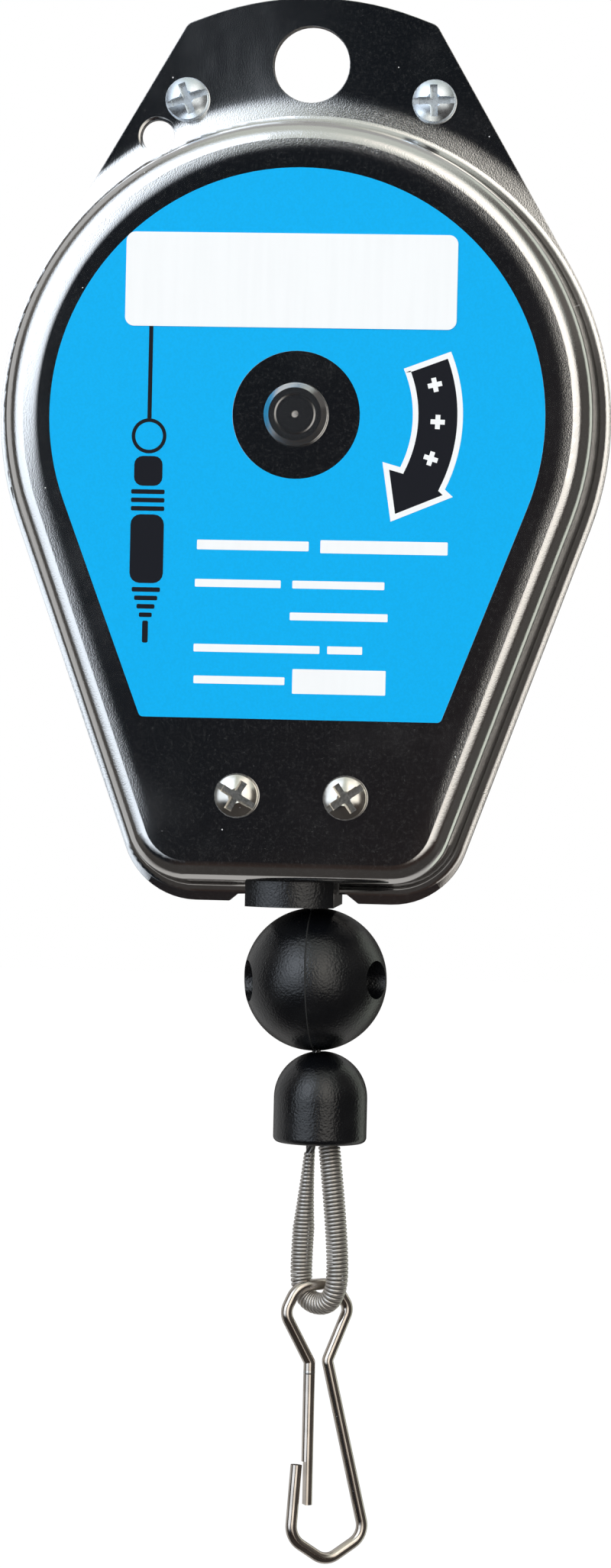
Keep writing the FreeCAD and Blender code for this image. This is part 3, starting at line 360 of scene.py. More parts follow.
def plated_steel(groups, rgb):
    """Bright nickel plate: a mirror on the flats, softly bent and grainy where the sheet was drawn."""
    material, tree, shader, place = new_material("plated_steel")
    specks = use(tree, groups["dust"], {"Vector": place, "Scale": 420.0, "Size": 0.045})["Mask"]
    marks = use(tree, groups["scuffs"], {"Vector": place})
    pan = use(tree, groups["pan"], {"Vector": place})
    away = pan["Distance"]
    drawn = math_node(tree, "MULTIPLY", ramp(tree, away, -7.0 * MM, -3.5 * MM),
                      ramp(tree, away, 6.0 * MM, 2.0 * MM))
    low = put(tree, "ShaderNodeSeparateXYZ", {0: place}).outputs[2]
    higher = ramp(tree, low, DRUM_AXIS.z - 70 * MM, DRUM_AXIS.z - 55 * MM, 0.1, 1.0)
    drawn = math_node(tree, "MULTIPLY", drawn, higher)
    grain = noise(tree, place, 4800.0, 2.0, 0.6)
    wave = noise(tree, place, 160.0, 1.0)
    rough = math_node(tree, "ADD", ramp(tree, drawn, 0.0, 1.0, 0.06, 0.11),
                      math_node(tree, "MULTIPLY", marks["Smudge"], 0.02))
    clean = mixed(tree, math_node(tree, "MULTIPLY", marks["Smudge"], 0.25), rgb, (0.70, 0.71, 0.74))
    tree.links.new(mixed(tree, specks, clean, (0.85, 0.85, 0.85)), shader.inputs["Base Color"])
    rough = math_node(tree, "ADD", rough, math_node(tree, "MULTIPLY", specks, 0.5))
    tree.links.new(rough, shader.inputs["Roughness"])
    fine = use(tree, groups["dust"], {"Vector": place, "Scale": 1500.0, "Size": 0.07})["Mask"]
    mottle = ramp(tree, noise(tree, place, 2600.0, 4.0, 0.7), 0.48, 0.8, 0.0, 0.035)
    veil = math_node(tree, "ADD", math_node(tree, "MULTIPLY", marks["Smudge"], 0.012),
                     math_node(tree, "ADD", mottle, math_node(tree, "MULTIPLY", fine, 0.12)))
    veil = math_node(tree, "ADD", veil, math_node(tree, "MULTIPLY", specks, 0.7))
    tree.links.new(math_node(tree, "SUBTRACT", 1.0, veil, True), shader.inputs["Metallic"])
    peel = math_node(tree, "MULTIPLY", grain, ramp(tree, drawn, 0.0, 1.0, 0.0015 * MM, 0.020 * MM))
    height = math_node(tree, "ADD", peel, math_node(tree, "MULTIPLY", wave, 0.012 * MM))
    face_bend = math_node(tree, "MULTIPLY", rolled(tree, away, -4.4 * MM, 2.0 * MM, 0.10),
                          ramp(tree, pan["Upper left"], 0.3, 1.0, 0.1, 1.0))
    root_bend = math_node(tree, "MULTIPLY", rolled(tree, away, 1.4 * MM, 3.0 * MM, 0.25),
                          ramp(tree, pan["Left"], 0.2, 0.9, 0.22, 1.0))
    height = math_node(tree, "ADD", height, math_node(tree, "ADD", face_bend, root_bend))
    edge = put(tree, "ShaderNodeBevel", {"Radius": 0.12 * MM}, samples=3)
    node = put(tree, "ShaderNodeBump", {"Height": height, "Distance": 1.0, "Normal": edge.outputs[0]})
    tree.links.new(node.outputs[0], shader.inputs["Normal"])
    return material


def metal(groups, name, rgb, rough, grain_scale=2600.0, grain_depth=0.000004, along=(1.0, 1.0, 1.0)):
    """A plain metal with its own grain, dust and a slight change of tone."""
    material, tree, shader, place = new_material(name)
    specks = use(tree, groups["dust"], {"Vector": place, "Scale": 700.0, "Size": 0.05})["Mask"]
    grain = noise(tree, stretched(tree, place, along), grain_scale, 3.0)
    tone = noise(tree, place, 300.0, 3.0)
    dark = tuple(0.82 * channel for channel in rgb)
    base = mixed(tree, ramp(tree, tone, 0.35, 0.7), rgb, dark)
    tree.links.new(mixed(tree, specks, base, (0.6, 0.6, 0.6)), shader.inputs["Base Color"])
    tree.links.new(ramp(tree, grain, 0.3, 0.7, rough * 0.92, rough * 1.12), shader.inputs["Roughness"])
    share = math_node(tree, "SUBTRACT", 1.0, math_node(tree, "MULTIPLY", specks, 0.5))
    tree.links.new(share, shader.inputs["Metallic"])
    bump(tree, shader, grain, grain_depth)
    return material


def turned_metal(name, rgb, rough, pitch):
    """Turned metal: fine rings about the drum axis."""
    material, tree, shader, place = new_material(name)
    moved = put(tree, "ShaderNodeVectorMath", {0: place, 1: DRUM_AXIS}, operation="SUBTRACT").outputs[0]
    flat = stretched(tree, moved, (1.0, 0.0, 1.0))
    radius = put(tree, "ShaderNodeVectorMath", {0: flat}, operation="LENGTH").outputs["Value"]
    rings = math_node(tree, "SINE", math_node(tree, "MULTIPLY", radius, math.tau / pitch))
    tone = noise(tree, put(tree, "ShaderNodeCombineXYZ", {0: radius}).outputs[0], 2500.0, 2.0)
    dark = tuple(0.93 * channel for channel in rgb)
    tree.links.new(mixed(tree, ramp(tree, tone, 0.35, 0.7), rgb, dark), shader.inputs["Base Color"])
    tree.links.new(ramp(tree, tone, 0.3, 0.7, rough * 0.95, rough * 1.1), shader.inputs["Roughness"])
    shader.inputs["Metallic"].default_value = 1.0
    bump(tree, shader, rings, 0.0000004)
    return material


def moulding(groups, rgb):
    """Black moulded plastic with a leathery grain that catches the light, and rubbed pale here and there."""
    material, tree, shader, place = new_material("black_moulding")
    grain = use(tree, groups["grain"], {"Vector": place, "Scale": 2900.0})["Height"]
    specks = use(tree, groups["dust"], {"Vector": place, "Scale": 600.0, "Size": 0.035})["Mask"]
    cloud = noise(tree, place, 220.0, 3.0)
    rubbed = math_node(tree, "MULTIPLY", ramp(tree, noise(tree, place, 110.0, 5.0, 0.7), 0.64, 0.74),
                       ramp(tree, grain, 0.45, 0.62))
    base = mixed(tree, ramp(tree, cloud, 0.4, 0.7), rgb, tuple(channel + 0.002 for channel in rgb))
    base = mixed(tree, math_node(tree, "MULTIPLY", rubbed, 0.5), base, (0.05, 0.05, 0.055))
    tree.links.new(mixed(tree, specks, base, (0.12, 0.12, 0.12)), shader.inputs["Base Color"])
    tree.links.new(ramp(tree, cloud, 0.3, 0.75, 0.23, 0.30), shader.inputs["Roughness"])
    shader.inputs["Specular IOR Level"].default_value = 0.65
    bump(tree, shader, grain, 0.00006)
    return material


def print_film(rgb):
    """Printed film: an even ground with print grain, and the pale core of the film on its cut edge."""
    material, tree, shader, place = new_material("label_film")
    normal = put(tree, "ShaderNodeTexCoord").outputs["Normal"]
    facing = put(tree, "ShaderNodeSeparateXYZ", {0: normal}).outputs[1]
    cut = ramp(tree, facing, -0.8, -0.4)
    grain = noise(tree, place, 3000.0, 2.0)
    cloud = noise(tree, place, 30.0, 2.0)
    soft = tuple(channel * 0.94 for channel in rgb)
    tone = mixed(tree, ramp(tree, grain, 0.3, 0.7), rgb, soft)
    tree.links.new(mixed(tree, cut, tone, (0.65, 0.82, 0.9)), shader.inputs["Base Color"])
    tree.links.new(ramp(tree, cloud, 0.3, 0.7, 0.36, 0.44), shader.inputs["Roughness"])
    shader.inputs["Specular IOR Level"].default_value = 0.1
    bump(tree, shader, grain, 0.000004)
    return material


def paper(name, rgb):
    """White film or ink with a very faint grain and vertical streaks."""
    material, tree, shader, place = new_material(name)
    streak = noise(tree, stretched(tree, place, (1.0, 1.0, 0.05)), 900.0, 2.0)
    grain = noise(tree, place, 2600.0, 2.0)
    dim = tuple(0.985 * channel for channel in rgb)
    tree.links.new(mixed(tree, ramp(tree, streak, 0.35, 0.7), rgb, dim), shader.inputs["Base Color"])
    tree.links.new(ramp(tree, grain, 0.3, 0.7, 0.4, 0.5), shader.inputs["Roughness"])
    shader.inputs["Specular IOR Level"].default_value = 0.15
    bump(tree, shader, grain, 0.000003)
    return material


def make_materials():
    """All finishes, by name."""
    finish = bpy.context.scene.balancer_finish
    groups = {"grain": leather_grain(), "dust": dust(), "scuffs": scuffs(), "pan": pan_distance()}
    return {
        "plating": plated_steel(groups, tuple(finish.plating)),
        "label": print_film(tuple(finish.label)),
        "sticker": paper("sticker_film", tuple(finish.sticker)),
        "white": paper("white_ink", tuple(finish.sticker)),
        "black": paper("black_ink", tuple(finish.ink)),
        "moulding": moulding(groups, tuple(finish.moulding)),
        "zinc": metal(groups, "zinc_plate", tuple(finish.zinc), 0.28, 2600.0, 0.000002),
        "nickel": metal(groups, "nickel_plate", tuple(finish.nickel), 0.17, 2600.0, 0.000002),
        "hook": metal(groups, "hook_wire", tuple(finish.hook), 0.13, 900.0, 0.000008, (1.0, 1.0, 0.15)),
        "guard": metal(groups, "guard_wire", tuple(finish.guard), 0.13),
        "rope": metal(groups, "rope_wire", tuple(finish.rope), 0.35),
        "turned": turned_metal("turned_steel", tuple(finish.turned), 0.11, 0.00022),
        "spring": metal(groups, "spring_strip", tuple(finish.spring), 0.3),
        "bronze": metal(groups, "bronze", tuple(finish.bronze), 0.4, 4200.0, 0.00001),
        "casting": metal(groups, "casting", tuple(finish.casting), 0.42, 1500.0, 0.00002),
    }


# Which carried-over nodes each finish goes to.
FINISHED_NODES = {
    "plating": "front_cover rear_cover",
    "label": "front_label",
    "sticker": "blank_sticker",
    "zinc": "top_screws top_nuts drum_screws ball_screws ball_nuts",
    "nickel": "foot_screws foot_nuts",
    "moulding": "guide_block ball_half_left ball_half_right bell_cap",
    "turned": "arbor thrust_washers ratchet_wheel pawl pawl_rivet drum_cover rope_anchor ferrule",
    "spring": "arbor_clip pawl_spring power_spring",
    "casting": "drum",
    "bronze": "drum_bushes",
    "rope": "rope_winding rope_lead rope_loop",
    "guard": "coil_guard",
    "hook": "hook_frame hook_gate",
}
NODE_FINISH = {node: finish for finish, nodes in FINISHED_NODES.items() for node in nodes.split()}


# ---- Making pieces --------------------------------------------------------

def only(piece):
    """Selects one piece and nothing else."""
    bpy.ops.object.select_all(action="DESELECT")
    piece.select_set(True)
    bpy.context.view_layer.objects.active = piece


def apply_modifiers(piece):
    """Makes a piece's modifiers part of its mesh."""
    only(piece)
    for modifier in list(piece.modifiers):
        bpy.ops.object.modifier_apply(modifier=modifier.name)


def join(pieces):
    """Joins pieces into the first of them."""
    only(pieces[0])
    for piece in pieces[1:]:
        piece.select_set(True)
    bpy.ops.object.join()
    return bpy.context.object


def close_ends(piece):
    """Closes open ends and turns the faces outwards."""
    only(piece)
    bpy.ops.object.mode_set(mode="EDIT")
    bpy.ops.mesh.select_mode(type="VERT")
    bpy.ops.mesh.select_all(action="DESELECT")
    bpy.ops.mesh.select_non_manifold(extend=False, use_wire=False, use_multi_face=False, use_verts=False)
    bpy.ops.mesh.fill_holes(sides=0)
    bpy.ops.mesh.select_all(action="SELECT")
    bpy.ops.mesh.normals_make_consistent(inside=False)
    bpy.ops.object.mode_set(mode="OBJECT")


def dress(piece, name, material, body, replaced=(), smooth=50.0):
    """Names a finished piece, gives it its finish and hangs it on its body."""
    only(piece)
    piece.name = name
    piece.data.name = name
    piece.data.materials.clear()
    piece.data.materials.append(bpy.data.materials[material])
    bpy.ops.object.shade_smooth_by_angle(angle=math.radians(smooth))
    if body:
        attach(piece, body)
    if replaced:
        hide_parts(*replaced)


def guide_line(points):
    """A smooth line through a route's corners, for a piece to follow."""
    data = bpy.data.curves.new("guide_line", "CURVE")
    data.dimensions = "3D"
    data.resolution_u = 64
    data.use_stretch = True
    data.use_deform_bounds = True
    spline = data.splines.new("NURBS")
    spline.points.add(len(points) - 1)
    for corner, place in zip(spline.points, points):
        corner.co = (*place, 1.0)
    spline.order_u = 3
    spline.use_endpoint_u = True
    line = bpy.data.objects.new("guide_line", data)
    bpy.context.scene.collection.objects.link(line)
    return line


def follow(piece, points):
    """Lays a piece that stands along Z along a route, stretched to its length."""
    line = guide_line(points)
    bend = piece.modifiers.new("follow", "CURVE")
    bend.object = line
    bend.deform_axis = "POS_Z"
    apply_modifiers(piece)
    bpy.data.objects.remove(line)


def wound(piece, rise, turns, steps):
    """Winds a profile about Z."""
    screw = piece.modifiers.new("wound", "SCREW")
    screw.axis = "Z"
    screw.angle = math.tau
    screw.screw_offset = rise
    screw.iterations = turns
    screw.steps = steps
    screw.render_steps = steps
    screw.use_merge_vertices = False
    apply_modifiers(piece)


def laid_rope(sizes, long):
    """A straight rope of strands laid together, standing along Z."""
    strand = sizes.rope_diameter / 3
    strands = []
    for index in range(sizes.strands):
        turn = math.tau * index / sizes.strands
        bpy.ops.object.select_all(action="DESELECT")
        bpy.ops.mesh.primitive_circle_add(vertices=8, radius=strand / 2, fill_type="NOTHING",
                                          location=(strand * math.cos(turn), strand * math.sin(turn), 0))
        bpy.ops.object.transform_apply(location=True, rotation=True, scale=True)
        strands.append(bpy.context.object)
    rope = join(strands)
    wound(rope, sizes.rope_lay, max(1, round(long / sizes.rope_lay)), 24)
    return rope


def loop_point(across, up):
    """A point in the loop's own plane, from the loop's bottom."""
    rise = (Vector((0, 0, 1)) - LOOP_ACROSS * LOOP_ACROSS.z).normalized()
    return LOOP_BOTTOM + LOOP_ACROSS * across + rise * up


def loop_route(sizes, right_top, left_top):
    """Corners of the loop, down its right leg and up its left one, to the heights given."""
    wide = sizes.half_width
    slope = (wide - sizes.neck_half_width) / (sizes.drop - sizes.shoulder)
    right = wide - (right_top - sizes.shoulder) * slope
    left = wide - (left_top - sizes.shoulder) * slope
    places = [(right, right_top), (wide + sizes.sway + sizes.bulge, sizes.shoulder), (wide + sizes.sway, 0),
              (sizes.sway - wide, 0), (sizes.sway - wide, sizes.shoulder), (-left, left_top)]
    return [loop_point(across, up) for across, up in places]


def rope_route(sizes):
    """The rope from the drum through its bend in the guide down to the crimp."""
    radius = sizes.rope_diameter / 2
    low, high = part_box("rope_lead")
    end = Vector((high.x - radius, 0, low.z))
    corner = Vector((0, 0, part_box("guide_block")[0].z + sizes.corner_rise))
    corner.x = end.x - (corner.z - end.z) * math.tan(sizes.hang)
    reach = Vector((radius, radius, radius))
    for _ in range(3):
        start = Vector((low.x + reach.x, high.y - reach.y, high.z - reach.z))
        away = (start - corner).normalized()
        reach = Vector(radius * math.sqrt(1 - part * part) for part in away)
    down = (end - corner).normalized()
    return [start, corner + away * sizes.bend_reach, corner, corner + down * sizes.bend_reach, end]


def draw_in(coil, top, reach, share, steps=24):
    """Narrows a coil towards its top end, a little at each step."""
    only(coil)
    for step in range(steps):
        level = top - reach + reach * step / steps
        bpy.ops.object.mode_set(mode="EDIT")
        bpy.ops.mesh.select_all(action="DESELECT")
        bpy.ops.object.mode_set(mode="OBJECT")
        for vertex in coil.data.vertices:
            vertex.select = vertex.co.z > level
        bpy.ops.object.mode_set(mode="EDIT")
        factor = share ** (1 / steps)
        bpy.ops.transform.resize(value=(factor, factor, 1.0), center_override=(0, 0, 0))
        bpy.ops.object.mode_set(mode="OBJECT")


class BALANCER_OT_guard(bpy.types.Operator):
    """Winds the wire guard of the loop, drawn narrow at its left end"""
    bl_idname = "balancer.guard"
    bl_label = "Coil guard"

    def execute(self, context):
        sizes = context.scene.balancer_loop
        radius = (sizes.guard_diameter - sizes.guard_wire) / 2
        bpy.ops.object.select_all(action="DESELECT")
        bpy.ops.mesh.primitive_circle_add(vertices=10, radius=sizes.guard_wire / 2, fill_type="NOTHING",
                                          location=(radius, 0, 0), rotation=(math.pi / 2, 0, 0))
        bpy.ops.object.transform_apply(location=True, rotation=True, scale=True)
        guard = context.object
        wound(guard, sizes.guard_pitch, sizes.guard_turns, 20)
        draw_in(guard, sizes.guard_turns * sizes.guard_pitch, sizes.drawn_end, sizes.drawn_share)
        follow(guard, loop_route(sizes, sizes.drop + sizes.long_end, sizes.drop - sizes.short_end))
        close_ends(guard)
        dress(guard, "guard_coil", "guard_wire", "pull", ("coil_guard",), 80.0)
        return {"FINISHED"}


class BALANCER_OT_rope(bpy.types.Operator):
    """Lays the rope from the drum to the crimp and round the loop"""
    bl_idname = "balancer.rope"
    bl_label = "Rope"

    def execute(self, context):
        sizes = context.scene.balancer_loop
        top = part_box("rope_loop")[1].z - LOOP_BOTTOM.z
        loop = laid_rope(sizes, 2 * top + math.pi * sizes.half_width)
        follow(loop, loop_route(sizes, top, top))
        close_ends(loop)
        dress(loop, "rope_round_loop", "rope_wire", "pull", ("rope_loop",))
        route = rope_route(sizes)
        lead = laid_rope(sizes, (route[0] - route[2]).length + (route[4] - route[2]).length)
        follow(lead, route)
        close_ends(lead)
        dress(lead, "rope_to_crimp", "rope_wire", None, ("rope_lead",))
        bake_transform(lead)
        return {"FINISHED"}


class BALANCER_OT_ball_seam(bpy.types.Operator):
    """Lays the raised parting line round the stop ball"""
    bl_idname = "balancer.ball_seam"
    bl_label = "Ball seam"

    def execute(self, context):
        small = context.scene.balancer_small
        hang = context.scene.balancer_loop.hang
        halves = [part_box("ball_half_left"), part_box("ball_half_right")]
        low = Vector(min(box[0][i] for box in halves) for i in range(3))
        high = Vector(max(box[1][i] for box in halves) for i in range(3))
        radius = (high.z - low.z) / 2
        turn = Matrix.Rotation(-hang, 3, "Y") @ Matrix.Rotation(small.ball_turn, 3, "Z")
        upright = turn @ Matrix.Rotation(math.pi / 2, 3, "Y")
        bpy.ops.object.select_all(action="DESELECT")
        bpy.ops.mesh.primitive_torus_add(
            major_segments=128, minor_segments=8, location=(low + high) / 2, rotation=upright.to_euler(),
            major_radius=radius - small.seam_width * 0.3, minor_radius=small.seam_width / 2)
        bpy.ops.object.transform_apply(location=True, rotation=True, scale=True)
        seam = context.object
        bpy.ops.object.mode_set(mode="EDIT")
        bpy.ops.mesh.select_all(action="DESELECT")
        bpy.ops.object.mode_set(mode="OBJECT")
        keep_off = context.scene.balancer_loop.rope_diameter
        axis = turn @ Vector((0, 0, 1))
        for vertex in seam.data.vertices:
            offset = vertex.co - (low + high) / 2
            vertex.select = (offset - axis * offset.dot(axis)).length < keep_off
        bpy.ops.object.mode_set(mode="EDIT")
        bpy.ops.mesh.delete(type="VERT")
        bpy.ops.object.mode_set(mode="OBJECT")
        close_ends(seam)
        dress(seam, "ball_parting_line", "black_moulding", "pull")
        return {"FINISHED"}


class BALANCER_OT_gate_bend(bpy.types.Operator):
    """Closes the wire over the waist where the gate flexes"""
    bl_idname = "balancer.gate_bend"
    bl_label = "Gate bend"

    def execute(self, context):
        small = context.scene.balancer_small
        low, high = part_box("hook_gate")
        foot = Vector(((low.x + high.x) / 2, (low.y + high.y) / 2, low.z))
        along = (GATE_HINGE - foot).normalized()
        bpy.ops.object.select_all(action="DESELECT")
        bpy.ops.mesh.primitive_uv_sphere_add(
            segments=24, ring_count=16, radius=small.hinge_wide / 2, location=GATE_HINGE,
            rotation=along.to_track_quat("Z", "Y").to_euler(),
            scale=(1, 1, small.hinge_long / small.hinge_wide))
        bpy.ops.object.transform_apply(location=True, rotation=True, scale=True)
        dress(context.object, "gate_bend", "hook_wire", "hook")
        return {"FINISHED"}


# ---- Label print ----------------------------------------------------------

def flat_face(corners, level):
    """One face in the label's plane, from corners across and up from the drum's axis."""
    bpy.ops.object.select_all(action="DESELECT")
    bpy.ops.mesh.primitive_circle_add(vertices=len(corners), fill_type="NGON")
    face = bpy.context.object
    for vertex, (across, up) in zip(face.data.vertices, corners):
        vertex.co = (DRUM_AXIS.x + across, level, DRUM_AXIS.z + up)
    face.data.update()
    return face


def polar(radius, turn):
    """A point by radius and angle."""
    return radius * math.cos(turn), radius * math.sin(turn)


def arc(radius, start, stop, count=24):
    """Points along an arc about the drum's axis."""
    return [polar(radius, start + (stop - start) * step / count) for step in range(count + 1)]


def bar(low_across, high_across, middle, height):
    """Corners of an upright bar."""
    half = height / 2
    return [(low_across, middle - half), (high_across, middle - half), (high_across, middle + half),
            (low_across, middle + half)]


def rounded(face, reach):
    """Rounds the corners of a flat face."""
    only(face)
    bpy.ops.object.mode_set(mode="EDIT")
    bpy.ops.mesh.select_all(action="SELECT")
    bpy.ops.mesh.bevel(affect="VERTICES", offset=reach, segments=4)
    bpy.ops.object.mode_set(mode="OBJECT")
    return face


def ring(across, up, radius, width, level):
    """A flat ring."""
    outline = [(across + x, up + z) for x, z in (polar(radius, math.tau * step / 48) for step in range(48))]
    face = flat_face(outline, level)
    only(face)
    bpy.ops.object.mode_set(mode="EDIT")
    bpy.ops.mesh.select_all(action="SELECT")
    bpy.ops.mesh.inset(thickness=width)
    bpy.ops.mesh.delete(type="ONLY_FACE")
    bpy.ops.object.mode_set(mode="OBJECT")
    return face


def plus_sign(radius, turn, reach, width, level):
    """A plus sign on the arrow, turned with it."""
    half = width / 2
    flat = [(half, half), (half, reach), (-half, reach), (-half, half), (-reach, half), (-reach, -half),
            (-half, -half), (-half, -reach), (half, -reach), (half, -half), (reach, -half), (reach, half)]
    x, z = polar(radius, turn)
    cosine, sine = math.cos(turn), math.sin(turn)
    return flat_face([(x + a * cosine - b * sine, z + a * sine + b * cosine) for a, b in flat], level)


def turning_arrow(sizes, level):
    """The curved arrow. Returns its white outline and its black field."""
    shape = arc(sizes.arrow_inner, sizes.arrow_start + sizes.arrow_skew, sizes.arrow_stop)
    shape += [polar(sizes.arrow_inner - sizes.barb_in, sizes.arrow_stop - sizes.barb_in_turn)]
    shape += [polar(sizes.tip_radius, sizes.arrow_tip)]
    shape += [polar(sizes.arrow_outer + sizes.barb_out, sizes.arrow_stop - sizes.barb_out_turn)]
    shape += arc(sizes.arrow_outer, sizes.arrow_stop, sizes.arrow_start)
    outline = flat_face(shape, level)
    only(outline)
    bpy.ops.object.mode_set(mode="EDIT")
    bpy.ops.mesh.select_all(action="SELECT")
    bpy.ops.mesh.inset(thickness=sizes.arrow_outline)
    bpy.ops.mesh.separate(type="SELECTED")
    bpy.ops.object.mode_set(mode="OBJECT")
    field = [piece for piece in bpy.context.selected_objects if piece != outline][0]
    return outline, field


# Low end, high end, middle height and height of each blank line, in millimetres from the drum's axis.
WHITE_LINES = [
    (-14.9, 2.4, -20.2, 1.5), (4.2, 23.8, -20.2, 2.0),
    (-15.1, -1.8, -26.1, 1.2), (0.0, 14.2, -26.1, 1.2),
    (-0.3, 14.8, -31.0, 1.2),
    (-15.1, 4.4, -36.1, 1.2), (5.6, 11.0, -36.1, 1.2),
    (-15.0, -0.9, -41.0, 1.2), (0.3, 14.7, -41.0, 3.8),
]
# Middle height, width and height of each band of the printed weight, in millimetres.
WEIGHT_BANDS = [
    (-9.0, 4.4, 4.6), (-12.2, 5.2, 0.7), (-13.5, 5.2, 0.7), (-14.8, 5.2, 0.7), (-21.0, 5.2, 10.6),
    (-27.3, 4.4, 0.7), (-28.6, 3.6, 0.7), (-29.9, 2.8, 0.7), (-31.2, 2.0, 0.7), (-33.8, 0.9, 3.4),
]


# Rounding of a band as a share of its smaller side, and where the plus signs stand, in degrees.
BAND_ROUND = 0.3
PLUS_TURNS = (13.0, -2.0, -17.0)


class BALANCER_OT_label_print(bpy.types.Operator):
    """Prints the turning arrow, the blank lines and a hanging weight on the label"""
    bl_idname = "balancer.label_print"
    bl_label = "Label print"

    def execute(self, context):
        sizes = context.scene.balancer_print
        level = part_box("front_label")[0].y
        outline, field = turning_arrow(sizes, level)
        middle = (sizes.arrow_inner + sizes.arrow_outer) / 2
        white = [outline]
        for low, high, up, height in WHITE_LINES:
            blank = flat_face(bar(low * MM, high * MM, up * MM, height * MM), level)
            white.append(rounded(blank, sizes.line_round))
        across = sizes.motif_across
        line_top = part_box("blank_sticker")[0].z - DRUM_AXIS.z
        ring_top = sizes.motif_top
        half = sizes.motif_cord / 2
        middle_up = (line_top + ring_top) / 2
        cord = flat_face(bar(across - half, across + half, middle_up, line_top - ring_top), level)
        eye = ring(across, ring_top - sizes.motif_ring, sizes.motif_ring, sizes.motif_ring_width, level)
        black = [field, cord, eye]
        for up, wide, tall in WEIGHT_BANDS:
            half = wide / 2 * MM
            mark = flat_face(bar(across - half, across + half, up * MM, tall * MM), level)
            black.append(rounded(mark, min(wide, tall) * BAND_ROUND * MM))
        raised = level - 1.5 * sizes.ink
        signs = [plus_sign(middle, math.radians(turn), sizes.plus_reach, sizes.plus_width, raised)
                 for turn in PLUS_TURNS]
        for pieces, name, material in ((white, "label_white_print", "white_ink"),
                                       (black, "label_black_print", "black_ink"),
                                       (signs, "label_plus_signs", "white_ink")):
            piece = join(pieces)
            body = piece.modifiers.new("ink", "SOLIDIFY")
            body.thickness = sizes.ink
            body.offset = 1.0
            apply_modifiers(piece)
            dress(piece, name, material, "case")
        return {"FINISHED"}


# ---- Stage ----------------------------------------------------------------

# Soft panels round the object, in degrees: bearing from the front, half width, soft edge,
# height, half height, soft edge, colour.
PANELS = [
    (-36.0, 21.0, 6.0, 20.0, 27.0, 13.0, (1.15, 1.26, 1.40)),
    (21.0, 14.0, 8.0, 20.0, 25.0, 13.0, (1.25, 1.20, 1.12)),
    (-121.0, 26.0, 8.0, 8.0, 40.0, 20.0, (0.5, 0.5, 0.5)),
    (-30.0, 8.0, 8.0, 24.0, 12.0, 10.0, (2.4, 2.6, 2.9)),
    (16.0, 4.0, 6.0, 22.0, 9.0, 9.0, (2.3, 2.2, 2.0)),
    (130.0, 12.0, 6.0, 8.0, 40.0, 20.0, (0.74, 0.79, 0.70)),
]

# Soft lamps: name, place, side and power in watts, colour.
LAMPS = [
    ("front_fill", (-0.1, -1.3, 0.25), 1.2, 4.0, (1.0, 1.0, 1.0)),
    ("left_fill", (-1.1, -0.8, 0.3), 0.8, 2.0, (0.95, 0.98, 1.0)),
    ("right_fill", (1.1, -0.8, 0.3), 0.8, 1.5, (1.0, 0.99, 0.97)),
    ("rear_fill", (0.2, 1.3, 0.5), 1.2, 4.0, (1.0, 1.0, 1.0)),
]


def band(tree, value, middle, half, soft):
    """A mask that is 1 within half of the middle and falls to 0 over the soft width."""
    apart = math_node(tree, "ABSOLUTE", math_node(tree, "SUBTRACT", value, middle))
    return ramp(tree, apart, half, half + soft, 1.0, 0.0)


def studio_world():
    """A studio all round: dark ahead, soft bright panels, a pale ceiling, white for the camera."""
    world = bpy.data.worlds.new("studio")
    world.use_nodes = True
    tree = world.node_tree
    tree.nodes.clear()
    place = tree.nodes.new("ShaderNodeTexCoord").outputs["Generated"]
    x, y, z = put(tree, "ShaderNodeSeparateXYZ", {0: place}).outputs
    bearing = math_node(tree, "ARCTAN2", x, math_node(tree, "MULTIPLY", y, -1.0))
    bearing = math_node(tree, "MULTIPLY", bearing, 180.0 / math.pi)
    height = math_node(tree, "MULTIPLY", math_node(tree, "ARCSINE", z), 180.0 / math.pi)
    lean = math_node(tree, "SUBTRACT", bearing, math_node(tree, "MULTIPLY", height, 0.5))
    ahead = mixed(tree, ramp(tree, lean, -9.0, 7.0), (0.007, 0.009, 0.012), (0.036, 0.026, 0.023))
    apart = math_node(tree, "ABSOLUTE", bearing)
    around = mixed(tree, ramp(tree, apart, 35.0, 60.0), ahead, (0.075, 0.070, 0.066))
    flanks = mixed(tree, ramp(tree, apart, 38.0, 62.0), (0.62, 0.66, 0.61), (0.14, 0.13, 0.12))
    flanks = mixed(tree, ramp(tree, height, 50.0, 70.0), flanks, (0.60, 0.63, 0.59))
    ceiling = mixed(tree, ramp(tree, apart, 100.0, 135.0), flanks, (0.42, 0.42, 0.42))
    below = mixed(tree, ramp(tree, apart, 80.0, 130.0), (0.050, 0.046, 0.044), (0.46, 0.45, 0.44))
    total = mixed(tree, ramp(tree, height, 14.0, 24.0), around, ceiling)
    total = mixed(tree, ramp(tree, height, -22.0, -40.0), total, below)
    for bearing_at, wide, soft, height_at, tall, soft_tall, rgb in PANELS:
        mask = math_node(tree, "MULTIPLY", band(tree, bearing, bearing_at, wide, soft),
                         band(tree, height, height_at, tall, soft_tall))
        total = mixed(tree, mask, total, rgb)
    is_camera = tree.nodes.new("ShaderNodeLightPath").outputs["Is Camera Ray"]
    shown = mixed(tree, is_camera, total, (1.0, 1.0, 1.0))
    background = put(tree, "ShaderNodeBackground", {"Color": shown, "Strength": 1.0})
    out = tree.nodes.new("ShaderNodeOutputWorld")
    tree.links.new(background.outputs[0], out.inputs["Surface"])
    bpy.context.scene.world = world


